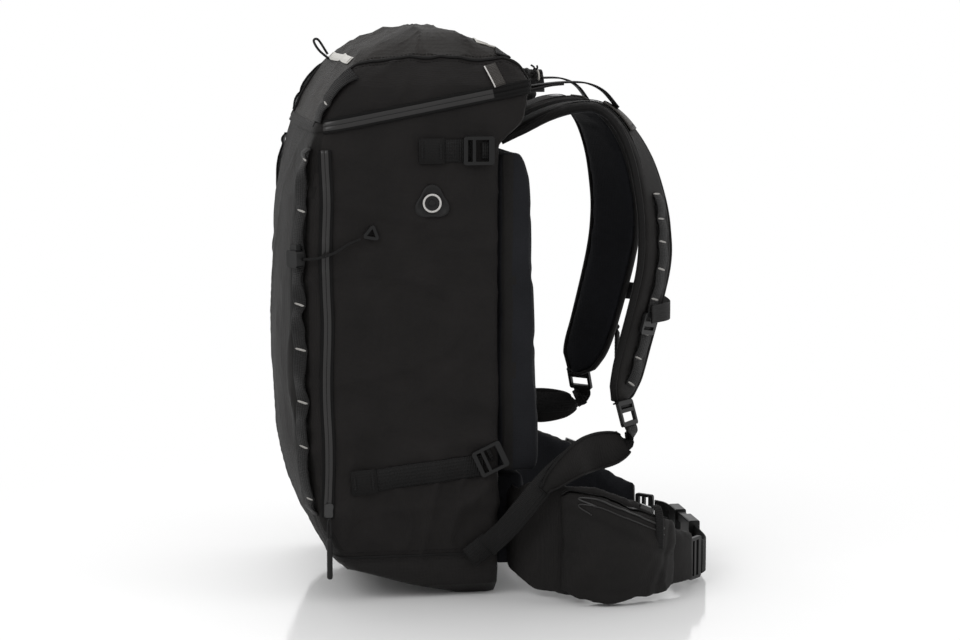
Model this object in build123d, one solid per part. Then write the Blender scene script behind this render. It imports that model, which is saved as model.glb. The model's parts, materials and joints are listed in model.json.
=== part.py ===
"""A ski backpack: fabric shell on a stiff back, zipped lid, harness, hip belt and their hardware.

Row frame, in millimetres: +Z up, +Y towards the wearer, +X to the wearer's right. The origin is the middle of
the flat rear part of the base, which the pack stands on. Each node is written to parts/NODE.step.
"""
from build123d import *
import math
import os
from functools import lru_cache

# ---------------------------------------------------------------- driving dimensions
SHELL_WIDTH = 290.0
SHELL_HEIGHT = 611.0
SHELL_DEPTH = 216.0  # from the front panel to the back wall
WALL = 3.0  # fabric with its foam and lining
BACK_Y = 23.0  # outer face of the back wall
FRONT_RADIUS = 32.0  # upright corners of the shell where it is deepest
TOP_RADIUS = 20.0  # the least that they shrink to
REAR_RADIUS = 12.0
SEAM_GAP = 0.5  # between the lid and the rim it closes on
SKIN_GAP = 0.3  # between the shell and what is sewn on it
WEB = 1.8  # thickness of webbing
BASE_SEAM_Z = 50.0
LID_SEAM_FRONT_Z = 508.0
LID_SEAM_REAR_Z = 551.0

BACK_PAD_BOTTOM_Z = 132.0
BACK_PAD_TOP_Z = 484.0
BACK_PAD_HALF_WIDTH = 137.0
BACK_PAD_DEPTH = 42.0
LUMBAR_HALF_WIDTH = 101.5
SHEET_THICK = 2.0
STAY_THICK = 3.0
STAY_WIDTH = 14.0
STAY_SPACING = 120.0

COMPRESSION_WIDTH = 24.0
SHOULDER_WEB_WIDTH = 25.0
LIFTER_WIDTH = 20.0
STERNUM_WIDTH = 20.0
BELT_WEB_WIDTH = 38.0
DAISY_WIDTH = 20.0
ZIP_WIDTH = 14.0
STRAP_THICK = 12.0
FIT = 0.4  # clearance of moving hardware

SIDE_X = SHELL_WIDTH / 2
OUT_X = SIDE_X + SKIN_GAP  # where something sewn on the side starts

# Shell stations: share of height, share of depth to the front, rear offset from the back wall, share of width.
STATIONS = (
    (0.000, 0.236, 0, 0.80),
    (0.023, 0.463, 0, 0.93),
    (0.056, 0.782, 0, 0.98),
    (0.074, 0.815, 0, 0.99),
    (0.131, 0.898, 0, 1.00),
    (0.188, 0.949, 0, 1.00),
    (0.264, 0.986, 0, 1.00),
    (0.398, 1.000, 0, 1.00),
    (0.586, 1.000, 0, 1.00),
    (0.697, 0.981, 0, 1.00),
    (0.800, 0.931, 0, 1.00),
    (0.838, 0.895, 27, 0.99),
    (0.867, 0.861, 31, 0.985),
    (0.903, 0.800, 35, 0.965),
    (0.936, 0.730, 26, 0.89),
    (0.962, 0.660, 3, 0.75),
    (0.985, 0.514, -27, 0.60),
    (1.000, 0.394, -45, 0.38),
)


# ---------------------------------------------------------------- helpers
def block(x0, x1, y0, y1, z0, z1):
    """A box between two corners."""
    return Pos(x0, y0, z0) * Box(x1 - x0, y1 - y0, z1 - z0, align=(Align.MIN,) * 3)


def prism_x(outline, x0, x1):
    """An outline of (y, z) points, extruded along X."""
    face = make_face(Polyline(*[(x0, y, z) for y, z in outline], close=True))
    return extrude(face, amount=x1 - x0, dir=(1, 0, 0))


def prism_z(face, z0, z1):
    """A face in the XY plane, extruded from z0 to z1."""
    return extrude(Pos(0, 0, z0) * face, amount=z1 - z0, dir=(0, 0, 1))


def ribbon(points, across, width, thick):
    """A flat band through points. across gives the direction of its width at each point."""
    points = [Vector(*p) for p in points]
    across = [Vector(*a).normalized() for a in across]
    widths = width if isinstance(width, (list, tuple)) else [width] * len(points)
    faces = []
    for i, p in enumerate(points):
        along = (points[min(i + 1, len(points) - 1)] - points[max(i - 1, 0)]).normalized()
        side = (across[i] - along * across[i].dot(along)).normalized()
        out = along.cross(side)
        w, t = side * (widths[i] / 2), out * (thick / 2)
        faces.append(make_face(Polyline(p + w + t, p - w + t, p - w - t, p + w - t, close=True)))
    return loft(faces, ruled=True)


def cord(points, radii, diameter):
    """A round cord along straight runs joined by tangent arcs."""
    path = FilletPolyline(*points, radius=radii)
    return sweep(Plane(path @ 0, z_dir=path % 0) * Circle(diameter / 2), path)


def flipped(shape):
    """The mirror image across the middle of the pack."""
    return Compound([mirror(s, about=Plane.YZ) for s in shape.solids()])


def both(shape):
    """The shape and its mirror image across the middle of the pack."""
    return Compound([*shape.solids(), *flipped(shape).solids()])


def parts_of(*shapes):
    """Several shapes as one compound of their solids."""
    return Compound([s for shape in shapes for s in shape.solids()])


def write(name, shape):
    """Writes one node."""
    solids = shape.solids()
    export_step(Compound(solids) if len(solids) > 1 else solids[0], f"parts/{name}.step")


# ---------------------------------------------------------------- the shell
def station(share, depth, rear, width, inset):
    """The rounded section of the shell at one height."""
    z = inset + share * (SHELL_HEIGHT - 2 * inset)
    front_y = BACK_Y - depth * SHELL_DEPTH + inset
    rear_y = BACK_Y + rear - inset
    half = width * SIDE_X - inset
    room = 0.42 * (rear_y - front_y)
    face = make_face(
        Polyline((-half, front_y, z), (half, front_y, z), (half, rear_y, z), (-half, rear_y, z), close=True)
    )
    corners = face.vertices().sort_by(Axis.Y)
    radius = max(TOP_RADIUS, FRONT_RADIUS - 0.7 * SHELL_DEPTH * (1 - depth))
    face = fillet(corners[:2], min(radius - inset, room))
    corners = face.vertices().sort_by(Axis.Y)
    return fillet(corners[-2:], min(REAR_RADIUS - inset, room))


@lru_cache
def hull_at(inset):
    """The pack's outer form, moved inwards by inset."""
    return loft([station(*row, inset) for row in STATIONS], ruled=True)


def front_y_at(z):
    """Y of the front panel's outer face at a height."""
    rows = [(s * SHELL_HEIGHT, BACK_Y - d * SHELL_DEPTH) for s, d, _, _ in STATIONS]
    for (z0, y0), (z1, y1) in zip(rows, rows[1:]):
        if z0 <= z <= z1:
            return y0 + (y1 - y0) * (z - z0) / (z1 - z0)
    raise ValueError(z)


def half_width_at(z):
    """Half of the shell's width at a height."""
    rows = [(s * SHELL_HEIGHT, w * SIDE_X) for s, _, _, w in STATIONS]
    for (z0, x0), (z1, x1) in zip(rows, rows[1:]):
        if z0 <= z <= z1:
            return x0 + (x1 - x0) * (z - z0) / (z1 - z0)
    raise ValueError(z)


def seam_z_at(y):
    """Height of the lid seam at a depth."""
    y0, y1 = front_y_at(LID_SEAM_FRONT_Z), BACK_Y + 35
    return LID_SEAM_FRONT_Z + (LID_SEAM_REAR_Z - LID_SEAM_FRONT_Z) * (y - y0) / (y1 - y0)


def above_seam(gap):
    """Everything above the lid seam, raised by gap."""
    y0, y1, far = -SHELL_DEPTH - 60, BACK_Y + 160, SHELL_WIDTH
    return prism_x(
        [
            (y0, seam_z_at(y0) + gap),
            (y1, seam_z_at(y1) + gap),
            (y1, SHELL_HEIGHT + 60),
            (y0, SHELL_HEIGHT + 60),
        ],
        -far,
        far,
    )


LID_HINGE_Z = LID_SEAM_FRONT_Z - 2
LID_HINGE_Y = front_y_at(LID_HINGE_Z) - 2.5


def make_shell():
    """The sewn panels below the lid, and the lid's own shell."""
    shell = hull_at(0) - hull_at(WALL)
    lid = shell & above_seam(SEAM_GAP / 2)
    lower = shell - above_seam(-SEAM_GAP / 2)
    far = SHELL_WIDTH
    tall = SHELL_HEIGHT
    rear_zone = block(-far, far, BACK_Y - 9, BACK_Y + 100, -5, tall)
    base_zone = block(-far, far, -far, BACK_Y - 9, -5, BASE_SEAM_Z)
    heights = [s * SHELL_HEIGHT for s, _, _, _ in STATIONS if s <= 0.9]
    edge = [(front_y_at(z) + 11, z) for z in heights]
    front_zone = prism_x([*edge, (-far, heights[-1]), (-far, heights[0])], -far, far)
    rest = lower - rear_zone - base_zone
    sides = rest - front_zone
    return {
        "lid_shell": lid,
        "back_panel": lower & rear_zone,
        "base_panel": lower & base_zone,
        "front_panel": rest & front_zone,
        "side_panel_right": sides & block(0, far, -far, far, -5, tall),
        "side_panel_left": sides & block(-far, 0, -far, far, -5, tall),
    }


def sewn_on(thick, zone):
    """A thin layer just outside the shell, within a zone."""
    return (hull_at(-SKIN_GAP - thick) & zone) - hull_at(-SKIN_GAP)


# ---------------------------------------------------------------- the back
def make_back():
    """Back pad, frame sheet, stays and lumbar pad."""
    y0 = BACK_Y + SKIN_GAP
    y1 = BACK_Y + BACK_PAD_DEPTH
    pad = prism_x(
        [
            (y0, BACK_PAD_BOTTOM_Z),
            (y1, BACK_PAD_BOTTOM_Z),
            (y1, BACK_PAD_BOTTOM_Z + 60),
            (y1 - 4, BACK_PAD_TOP_Z - 160),
            (y1 - 10, BACK_PAD_TOP_Z - 30),
            (y1 - 18, BACK_PAD_TOP_Z),
            (y0, BACK_PAD_TOP_Z),
        ],
        -BACK_PAD_HALF_WIDTH,
        BACK_PAD_HALF_WIDTH,
    )
    sheet_y = BACK_Y - WALL - 0.2 - SHEET_THICK
    sheet = block(-118, 118, sheet_y, sheet_y + SHEET_THICK, 70, BACK_PAD_TOP_Z - 10)
    upright = sheet.edges().filter_by(Axis.Y)
    sheet = fillet(upright, 20)
    stay_y = sheet_y - 0.2 - STAY_THICK
    x0 = STAY_SPACING / 2 - STAY_WIDTH / 2
    stay = block(x0, x0 + STAY_WIDTH, stay_y, stay_y + STAY_THICK, 80, BACK_PAD_TOP_Z - 20)
    lumbar_top = BACK_PAD_BOTTOM_Z - 1
    lumbar = prism_x(
        [(y0, 26), (y0 + 22, 26), (y0 + 32, 50), (y0 + 34, lumbar_top), (y0, lumbar_top)],
        -LUMBAR_HALF_WIDTH,
        LUMBAR_HALF_WIDTH,
    )
    return {"back_pad": pad, "frame_sheet": sheet, "frame_stays": both(stay), "lumbar_pad": lumbar}


# ---------------------------------------------------------------- sewn on the shell
DAISY_X = (120.0, 138.0)
DAISY_Z = (96.0, 488.0)
MAIN_ZIP_Y = -163.0
MAIN_ZIP_Z = (96.0, 486.0)
BADGE_Y, BADGE_Z, BADGE_SIZE = -51.0, 427.0, 38.0
SLIDER_WIDTH = 9.0


def make_trim():
    """Zip tapes, daisy chains, badge and the patches that the side straps are sewn under."""
    far = SHELL_WIDTH
    zip_front = MAIN_ZIP_Y - ZIP_WIDTH / 2
    main_zip = sewn_on(1.0, block(DAISY_X[1] + 0.5, far, zip_front, zip_front + ZIP_WIDTH, *MAIN_ZIP_Z))
    daisy = sewn_on(WEB, block(*DAISY_X, -far, -120, *DAISY_Z))
    y0, y1 = LID_HINGE_Y + 14, BACK_Y + 60

    def seam_band(low, high):
        """A prism between two lines parallel to the lid seam."""
        return prism_x(
            [
                (y0, seam_z_at(y0) + low),
                (y1, seam_z_at(y1) + low),
                (y1, seam_z_at(y1) + high),
                (y0, seam_z_at(y0) + high),
            ],
            -far,
            far,
        )

    half_gap = SEAM_GAP / 2
    upper = sewn_on(1.0, seam_band(half_gap, ZIP_WIDTH / 2))
    lower = sewn_on(1.0, seam_band(-ZIP_WIDTH / 2, -half_gap))
    badge = extrude(
        Plane.YZ
        * Pos(BADGE_Y, BADGE_Z, OUT_X)
        * fillet(RegularPolygon(BADGE_SIZE / 1.55, 3, rotation=90).vertices(), 8),
        amount=2.0,
    )
    return {
        "main_zip_tape": main_zip,
        "daisy_chains": both(daisy),
        "lid_zip_upper_tape": upper,
        "lid_zip_lower_tape": lower,
        "side_badge": badge,
    }


# Side straps. Each row: name, z of the strap's two ends, front end y, rear end y, hook tilt in degrees.
UPPER_STRAP = {"z": (484.0, 484.0), "y": (-66.0, -12.0), "tilt": 0.0}
LOWER_STRAP = {"z": (132.0, 147.0), "y": (-140.0, 2.0), "tilt": 25.0}
HOOK_LENGTH = 33.0
LOWER_TAB_Y = (-12.0, 11.0)
LOWER_TAB_Z = (40.0, 66.0)
HOOK_THICK = 4.0


def frame_plate(length, width, thick, bars):
    """A moulded plate in the XY plane from x=0 to length, with slots between the given bars."""
    plate = Box(length, width, thick, align=(Align.MIN, Align.CENTER, Align.CENTER))
    plate = fillet(plate.edges().filter_by(Axis.Z), 3)
    for a, b in bars:
        slot = Box(b - a, width - 7, thick * 3, align=(Align.MIN, Align.CENTER, Align.CENTER))
        plate -= Pos(a, 0, 0) * slot
    return plate


def make_side_strap(strap):
    """Webbing, sewn patch and hook of one side strap on the wearer's right."""
    (y0, y1), (z0, z1) = strap["y"], strap["z"]
    x = OUT_X + 0.3 + WEB / 2
    webbing = ribbon([(x, y0, z0), (x, y1, z1)], [(0, 0, 1)] * 2, COMPRESSION_WIDTH, WEB)
    hook_x = x + WEB / 2 + 0.3 + HOOK_THICK / 2
    hook = frame_plate(HOOK_LENGTH, COMPRESSION_WIDTH + 6, HOOK_THICK, [(4.5, 9.5), (13, 27)])
    # local x runs to the rear, local z points out of the side
    hook = Plane(origin=(hook_x, y1 - 6, z1), x_dir=(0, 1, 0), z_dir=(1, 0, 0)) * Rot(0, 0, strap["tilt"]) * hook
    tilt = math.radians(strap["tilt"])
    end_y = y1 - 6 + HOOK_LENGTH * math.cos(tilt)
    end_z = z1 + HOOK_LENGTH * math.sin(tilt)
    tab_rear = BACK_Y - REAR_RADIUS
    tab = block(OUT_X, OUT_X + WEB, min(end_y - 14, tab_rear - 8), tab_rear, end_z - 9, end_z + 9)
    patch = block(x + WEB / 2 + 0.2, x + WEB / 2 + 1.4, y0 - 1, y0 + 25, z0 - 13, z0 + 13)
    return webbing, hook, tab, patch


def make_side_straps():
    """Upper and lower side straps on both sides."""
    nodes = {}
    straps, patches, tabs = [], [], []
    for level, strap in (("upper", UPPER_STRAP), ("lower", LOWER_STRAP)):
        webbing, hook, tab, patch = make_side_strap(strap)
        straps.append(both(webbing))
        tabs.append(both(tab))
        patches.append(both(patch))
        nodes[f"{level}_hook_right"] = hook
        nodes[f"{level}_hook_left"] = flipped(hook)
    lower_tab = block(OUT_X, OUT_X + WEB, *LOWER_TAB_Y, *LOWER_TAB_Z)
    nodes["side_straps"] = parts_of(*straps)
    nodes["strap_patches"] = parts_of(*patches)
    nodes["webbing_tabs"] = parts_of(*tabs, both(lower_tab))
    return nodes


# ---------------------------------------------------------------- zip sliders and pulls
def slider_body(length, width, height):
    """A zip slider lying in the XY plane, nose towards +X, resting on z=0."""
    body = Box(length, width, height, align=(Align.CENTER, Align.CENTER, Align.MIN))
    body = fillet(body.edges().filter_by(Axis.Z), width * 0.3)
    return body


MAIN_SLIDER_Z = 104.0
PULL_CORD = 2.6
PULL_TUBE = 6.4
PULL_TUBE_LENGTH = 45.0
PULL_CORD_LENGTH = 22.0


def hanging_pull(x, y, z):
    """A cord and a rubber tube that hang from a slider."""
    cord_part = Pos(x, y, z - PULL_CORD_LENGTH) * Cylinder(
        PULL_CORD / 2, PULL_CORD_LENGTH, align=(Align.CENTER, Align.CENTER, Align.MIN)
    )
    tube = Pos(x, y, z - PULL_CORD_LENGTH - PULL_TUBE_LENGTH + 1) * Cylinder(
        PULL_TUBE / 2, PULL_TUBE_LENGTH, align=(Align.CENTER, Align.CENTER, Align.MIN)
    )
    return cord_part + tube


LID_SLIDER_TRAVEL = 75.0


def lid_slider_path():
    """Where the lid zip's slider sits on the left side, and the way it slides."""
    ends = []
    for y in (LID_HINGE_Y + 26, LID_HINGE_Y + 26 + LID_SLIDER_TRAVEL):
        z = seam_z_at(y)
        ends.append(Vector(-half_width_at(z) - SKIN_GAP - 1.0 - 1.6 * FIT, y, z))
    return ends[0], (ends[1] - ends[0]).normalized()


def make_sliders():
    """Sliders of the main, lid and strap zips with their pulls."""
    out = OUT_X + 1.0 + FIT
    slider_plane = Plane(origin=(out, MAIN_ZIP_Y, MAIN_SLIDER_Z), x_dir=(0, 0, -1), z_dir=(1, 0, 0))
    slider = slider_plane * slider_body(15, SLIDER_WIDTH, 4)
    pull = hanging_pull(out + 4 + 0.3 + PULL_TUBE / 2 - 2, MAIN_ZIP_Y, MAIN_SLIDER_Z - 8)
    start, way = lid_slider_path()
    lid_slider = Plane(origin=start, x_dir=way, z_dir=(-1, 0, 0)) * slider_body(15, SLIDER_WIDTH, 4)
    lid_pull = Plane(origin=start + Vector(-4.4, 0, -4), x_dir=(0, 0, -1), z_dir=(-1, 0, 0)) * Box(
        34, 8, 2, align=(Align.MIN, Align.CENTER, Align.MIN)
    )
    return {
        "main_zip_slider": slider,
        "main_zip_pull": pull,
        "lid_zip_slider": lid_slider,
        "lid_zip_pull": lid_pull,
    }


# ---------------------------------------------------------------- tool cord on the daisy chain
TOOL_CORD = 3.0
TOOL_Z = 372.0


def make_tool_cord():
    """Cord lock on the daisy chain, its button, the elastic cord and the hook that it ends in."""
    lock_x, lock_y = 131.0, front_y_at(TOOL_Z) + 4.0
    turn = -math.degrees(math.atan2(17, 27))
    lock = Pos(0, 0, 0) * Box(11, 17, 18, align=(Align.MIN, Align.CENTER, Align.CENTER))
    lock = fillet(lock.edges().filter_by(Axis.X), 3)
    lock -= Pos(2.5, 0, 4) * Box(6.6, 11, 10, align=(Align.MIN, Align.CENTER, Align.MIN))
    button = Pos(2.5 + FIT, 0, 4.6 + 3) * Box(6.6 - 2 * FIT, 11 - 2 * FIT, 7, align=(Align.MIN, Align.CENTER, Align.MIN))
    place = Pos(lock_x + 1.0, lock_y - 1.5, TOOL_Z) * Rot(0, 0, turn - 25)
    points = [(141.5, -186.0, 372.0), (149.6, -167.0, 374.5), (148.8, -145.0, 386.0), (147.6, -129.0, 392.0)]
    elastic = cord(points, [12, 34], TOOL_CORD)
    hook = Plane(origin=(147.4, -115.5, 398.0), x_dir=(0, 1, 0), z_dir=(1, 0, 0)) * (
        extrude(fillet(RegularPolygon(12, 3, rotation=200).vertices(), 3), amount=1.6, both=True)
        - extrude(RegularPolygon(5.5, 3, rotation=200), amount=4, both=True)
    )
    return {
        "tool_cord_lock": place * lock,
        "tool_cord_button": place * button,
        "tool_cord": elastic,
        "tool_cord_hook": hook,
    }


# ---------------------------------------------------------------- harness
STRAP_ROUTE = (
    # x, y, z of the centre line, turn of the face in degrees, width
    (46, 38, 491.4, 0, 60),
    (50, 62, 502, 0, 62),
    (56, 92, 517, 4, 64),
    (62, 122, 525, 8, 66),
    (69, 148, 523, 14, 66),
    (77, 171, 503, 22, 66),
    (84, 188, 470, 30, 66),
    (90, 198, 432, 36, 66),
    (95, 203, 392, 40, 66),
    (101, 200, 345, 43, 65),
    (101, 179.5, 262, 45, 60),
    (107, 168, 226, 45, 52),
    (111, 158, 200, 45, 30),
)
STRAP_DOWN = Vector(0, -0.24, -0.97).normalized()  # along the straight stretch that the sternum strap slides on
STRAP_OUT = Vector(0.697, 0.697, -0.172).normalized()  # away from the wearer there, on the right
SHOULDER_BUCKLE = (117.6, 164.6, 207.0)
BUCKLE_DOWN = (0.21, 0.21, -0.955)
BUCKLE_OUT = (0.675, 0.675, 0.297)
LOWER_ROUTE = (
    # point, direction of the webbing's width
    ((124.3, 171.0, 172.6), (-0.7, 0.7, 0)),
    ((128, 164, 166), (-0.6, 0.5, 0.5)),
    ((135, 149, 163), (-0.3, 0.1, 0.9)),
    ((147, 124, 161), (0, -0.1, 1)),
    ((168, 100, 157), (0, -0.3, 1)),
    ((180, 70, 137), (0, -0.5, 1)),
    ((178, 45, 108), (0, -0.7, 0.7)),
    ((164, 26, 80), (0, -0.7, 0.7)),
    ((OUT_X + WEB + 1.6, 6, 56), (0, -0.7, 0.7)),
)


def strap_band(offset, width, thick, first, last):
    """A band along the right shoulder strap, offset outwards from its centre line."""
    rows = STRAP_ROUTE
    points = [Vector(*row[:3]) for row in rows]
    placed, across, widths = [], [], []
    for i, row in enumerate(rows):
        along = (points[min(i + 1, len(rows) - 1)] - points[max(i - 1, 0)]).normalized()
        turn = math.radians(row[3])
        side = Vector(-math.cos(turn), math.sin(turn), 0)
        side = (side - along * along.dot(side)).normalized()
        out = along.cross(side)
        placed.append(points[i] + out * offset)
        across.append(side)
        widths.append(width or row[4])
    keep = slice(first, last)
    return ribbon([tuple(p) for p in placed[keep]], [tuple(a) for a in across[keep]], widths[keep], thick)


def make_strap_pull():
    """Slider and pull of the pocket on the left shoulder strap."""
    face = Vector(-101, 184, 281)
    out = Vector(-STRAP_OUT.X, STRAP_OUT.Y, STRAP_OUT.Z)
    spot = face + Vector(1, 1, 0).normalized() * 21 + out * (STRAP_THICK / 2 + SKIN_GAP + 0.6)
    slider = Plane(origin=spot, x_dir=STRAP_DOWN, z_dir=out) * slider_body(13, 8, 3.2)
    hang = spot + out * 4.6
    return slider + hanging_pull(hang.X, hang.Y, hang.Z - 2)


def make_straps():
    """Shoulder straps with their daisy chains, load lifters, lower webbing and buckles."""
    strap = strap_band(0, None, STRAP_THICK, 0, len(STRAP_ROUTE))
    daisy = strap_band(STRAP_THICK / 2 + SKIN_GAP + WEB / 2, DAISY_WIDTH, WEB, 7, 12)
    z_lift = 547.0
    rear_y = BACK_Y + 36
    lifter_points = [(60, rear_y + 23, z_lift), (62, 108, 550), (64, 130, 550), (68, 150, 541), (73, 165.5, 522.5)]
    lifter = ribbon(lifter_points, [(-1, 0, 0)] * 5, LIFTER_WIDTH, WEB)
    lifter_buckle = frame_plate(26, 27, HOOK_THICK, [(5, 10), (14, 21)])
    lifter_buckle = Pos(60, rear_y - 0.3, z_lift - 3.6) * Rot(0, 0, 90) * lifter_buckle
    lower_web = ribbon(
        [row[0] for row in LOWER_ROUTE], [row[1] for row in LOWER_ROUTE], SHOULDER_WEB_WIDTH, WEB
    )
    buckle = Plane(origin=SHOULDER_BUCKLE, x_dir=BUCKLE_DOWN, z_dir=BUCKLE_OUT) * frame_plate(
        28, 30, HOOK_THICK, [(5, 9), (13, 23)]
    )
    return {
        "shoulder_strap_right": strap,
        "shoulder_strap_left": flipped(strap),
        "strap_daisies": both(daisy),
        "load_lifters": both(lifter),
        "lifter_buckles": both(lifter_buckle),
        "lower_webbings": both(lower_web),
        "shoulder_buckle_right": buckle,
        "shoulder_buckle_left": flipped(buckle),
        "strap_zip_pull": make_strap_pull(),
    }


# ---------------------------------------------------------------- buckles
def buckle_socket(length, depth, height, wall):
    """The socket half of a side-release buckle, mouth at x=0 facing -X."""
    body = Box(length, depth, height, align=(Align.MIN, Align.CENTER, Align.CENTER))
    body = fillet(body.edges().filter_by(Axis.X), 2)
    mouth = Box(length - wall * 2, depth - 2 * wall, height - 2 * wall, align=(Align.MIN, Align.CENTER, Align.CENTER))
    return body - Pos(-0.01, 0, 0) * mouth


def buckle_plug(length, reach, depth, height, wall, web_width):
    """The plug half: a base from x=-length to 0 that webbing passes into, and two prongs that reach past it."""
    base = Box(length, depth, height, align=(Align.MAX, Align.CENTER, Align.CENTER))
    base = fillet(base.edges().filter_by(Axis.X), 2)
    slot = Box(length, WEB + 2 * FIT, web_width + 2 * FIT, align=(Align.MAX, Align.CENTER, Align.CENTER))
    base -= Pos(-3, 0, 0) * slot
    room = 2 * (wall + FIT)
    prong = Box(reach, depth - room, 0.2 * height, align=(Align.MIN, Align.CENTER, Align.CENTER))
    z = (height - room) / 2 - 0.1 * height
    return base + Pos(-1, 0, z) * prong + Pos(-1, 0, -z) * prong


STERNUM_Y, STERNUM_Z = 225.0, 303.0
STERNUM_SOCKET = (22.0, 9.0, 26.0)


def make_sternum():
    """Sliders on both straps, the webbing between them and its buckle."""
    face = Vector(101, 190, STERNUM_Z)
    out = STRAP_OUT
    along = Vector(-1, 1, 0).normalized()
    surface = face + out * (STRAP_THICK / 2)
    gap = SKIN_GAP + WEB + 0.5
    slider_plane = Plane(origin=surface + out * (gap + 1.6), x_dir=STRAP_DOWN, z_dir=out)
    slider = slider_plane * frame_plate(24, 28, 3.2, [(5, 9), (15, 19)])
    web_start = surface + out * (gap + 4.8)
    turn = surface + along * 33 + out * 6.4
    length, depth, height = STERNUM_SOCKET

    def half(start):
        """Webbing from the right slider to a distance from the middle."""
        bend = (max(start + 20, 50), STERNUM_Y, STERNUM_Z)
        points = [tuple(web_start - along * 6), tuple(turn), bend, (start, STERNUM_Y, STERNUM_Z)]
        return ribbon(points, [(0, 0, 1)] * 4, STERNUM_WIDTH, 1.5)

    webbing = parts_of(half(2 + length + 0.3), flipped(half(20)))
    socket = Pos(2, STERNUM_Y, STERNUM_Z) * buckle_socket(length, depth, height, 1.6)
    plug = Pos(1.7, STERNUM_Y, STERNUM_Z) * buckle_plug(24, 14, depth, height, 1.6, STERNUM_WIDTH)
    return {
        "sternum_sliders": both(slider),
        "sternum_webbing": webbing,
        "sternum_socket": socket,
        "sternum_plug": plug,
    }


# ---------------------------------------------------------------- hip belt
WING_ROUTE = ((104, 41), (134, 50), (158, 74), (173, 104), (178, 140), (168, 180), (148, 214), (124, 238))
WING_THICK = 12.0
WING_PROFILE = (
    (22, 40),
    (28, 98),
    (50, 126),
    (66, 134),
    (122, 127),
    (166, 110),
    (205, 82),
    (250, 54),
    (250, 6),
    (200, 3),
    (120, 1),
    (60, 5),
)
POCKET_OUTER = ((164, 74), (190, 92), (204, 120), (205, 150), (194, 184), (176, 206), (160, 214))
POCKET_PROFILE = ((70, 12), (72, 112), (90, 126), (122, 121), (180, 98), (214, 84), (214, 10), (190, 5), (120, 1.5))
BELT_Y, BELT_Z = 268.0, 26.0
HIP_SOCKET = (36.0, 13.0, 50.0)
HIP_BUCKLE_GAP = 8.0
HIP_PRONG = 18.0


def wing_side(offset):
    """The wing's centre line in plan, moved outwards by offset."""
    points = [Vector(*p) for p in WING_ROUTE]
    moved = []
    for i, p in enumerate(points):
        along = (points[min(i + 1, len(points) - 1)] - points[max(i - 1, 0)]).normalized()
        moved.append((p.X + along.Y * offset, p.Y - along.X * offset))
    return moved


def plan_face(inner, outer):
    """The face between two smooth lines in plan."""
    a, b = Spline(*inner), Spline(*outer)
    return make_face([a, Line(inner[-1], outer[-1]), b, Line(outer[0], inner[0])])


def make_hip_wing():
    """Padded wing, pocket, zip and slider, ladder lock and webbing on the wearer's right."""
    half = WING_THICK / 2
    wing = prism_z(plan_face(wing_side(-half), wing_side(half)), 0, 160)
    wing &= prism_x(list(WING_PROFILE), 60, 260)
    clear = half + SKIN_GAP
    bound = prism_z(plan_face(wing_side(-30), wing_side(clear)), -5, 160)
    outline = make_face([Spline(*POCKET_OUTER), Line(POCKET_OUTER[-1], (120, 150)), Line((120, 150), POCKET_OUTER[0])])
    pocket = prism_z(outline, 0, 160) - bound
    pocket &= prism_x(list(POCKET_PROFILE), 60, 260)
    pocket = pocket.solids().sort_by(SortBy.VOLUME)[-1]
    slope = math.atan2(98 - 121, 180 - 122)
    slider_y = 172.0
    slider_z = 98 + (slider_y - 180) * math.tan(slope) + 0.4 / math.cos(slope)
    way, up = (0, math.cos(slope), math.sin(slope)), (0, -math.sin(slope), math.cos(slope))
    slider = Plane(origin=(190, slider_y, slider_z), x_dir=way, z_dir=up) * slider_body(15, SLIDER_WIDTH, 4)
    away = Vector(-1, 1, 0).normalized()
    lock_at = Vector(*WING_ROUTE[-1], BELT_Z + 1.5) + away * 0.8
    lock = Plane(origin=lock_at, x_dir=away, z_dir=Vector(1, 1, 0).normalized()) * frame_plate(
        24, BELT_WEB_WIDTH + 9, HOOK_THICK, [(5, 9), (13, 18)]
    )
    return {"hip_wing": wing, "hip_pocket": pocket, "pocket_slider": slider, "hip_ladder_lock": lock}


def belt_webbing(start):
    """Belt webbing from the right ladder lock to a distance from the middle."""
    points = [(106.2, 257.0, BELT_Z), (92, 264.8, BELT_Z), (64, BELT_Y, BELT_Z), (start, BELT_Y, BELT_Z)]
    return ribbon(points, [(0, 0, 1)] * 4, BELT_WEB_WIDTH, WEB)


def make_hip_buckle():
    """Both halves of the hip buckle, undone with a small gap between them."""
    length, depth, height = HIP_SOCKET
    socket = Pos(0, BELT_Y, BELT_Z) * buckle_socket(length, depth, height, 2.2)
    plug_end = 1 - HIP_BUCKLE_GAP - HIP_PRONG
    plug = Pos(plug_end, BELT_Y, BELT_Z) * buckle_plug(30, HIP_PRONG, depth, height, 2.2, BELT_WEB_WIDTH)
    return {
        "hip_socket": socket,
        "hip_plug": plug,
        "belt_webbing_right": belt_webbing(length + 0.3),
        "belt_webbing_left": flipped(belt_webbing(4 - plug_end)),
    }


# ---------------------------------------------------------------- top
LID_BAND_Y = ((-134.0, -124.0), (5.0, 20.0))


def make_top():
    """Haul loop, rolled rope strap and the lid's cord loop and bands."""
    rear = BACK_Y + 34.5
    loop = cord([(-38, rear - 1, 532), (-36, rear + 24, 537), (36, rear + 24.5, 537), (38, rear - 1, 532)], [16, 16], 9)
    roll = Pos(0, rear + 2.6, 556) * Box(34, 38, 17, align=(Align.CENTER, Align.MIN, Align.CENTER))
    roll = fillet(roll.edges().filter_by(Axis.X), 6)
    bands = parts_of(*[sewn_on(1.2, block(-92, 92, *y, 560, 640)) for y in LID_BAND_Y])
    front_loop = cord(
        [(-64, -134.8, 574), (-66, -146, 584), (-72, -151, 594), (-80, -144, 595), (-84, -133.8, 578)], [5, 4, 5], 2.6
    )
    return {"haul_loop": loop, "rope_strap_roll": roll, "lid_bands": bands, "lid_cord_loop": front_loop}


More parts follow.
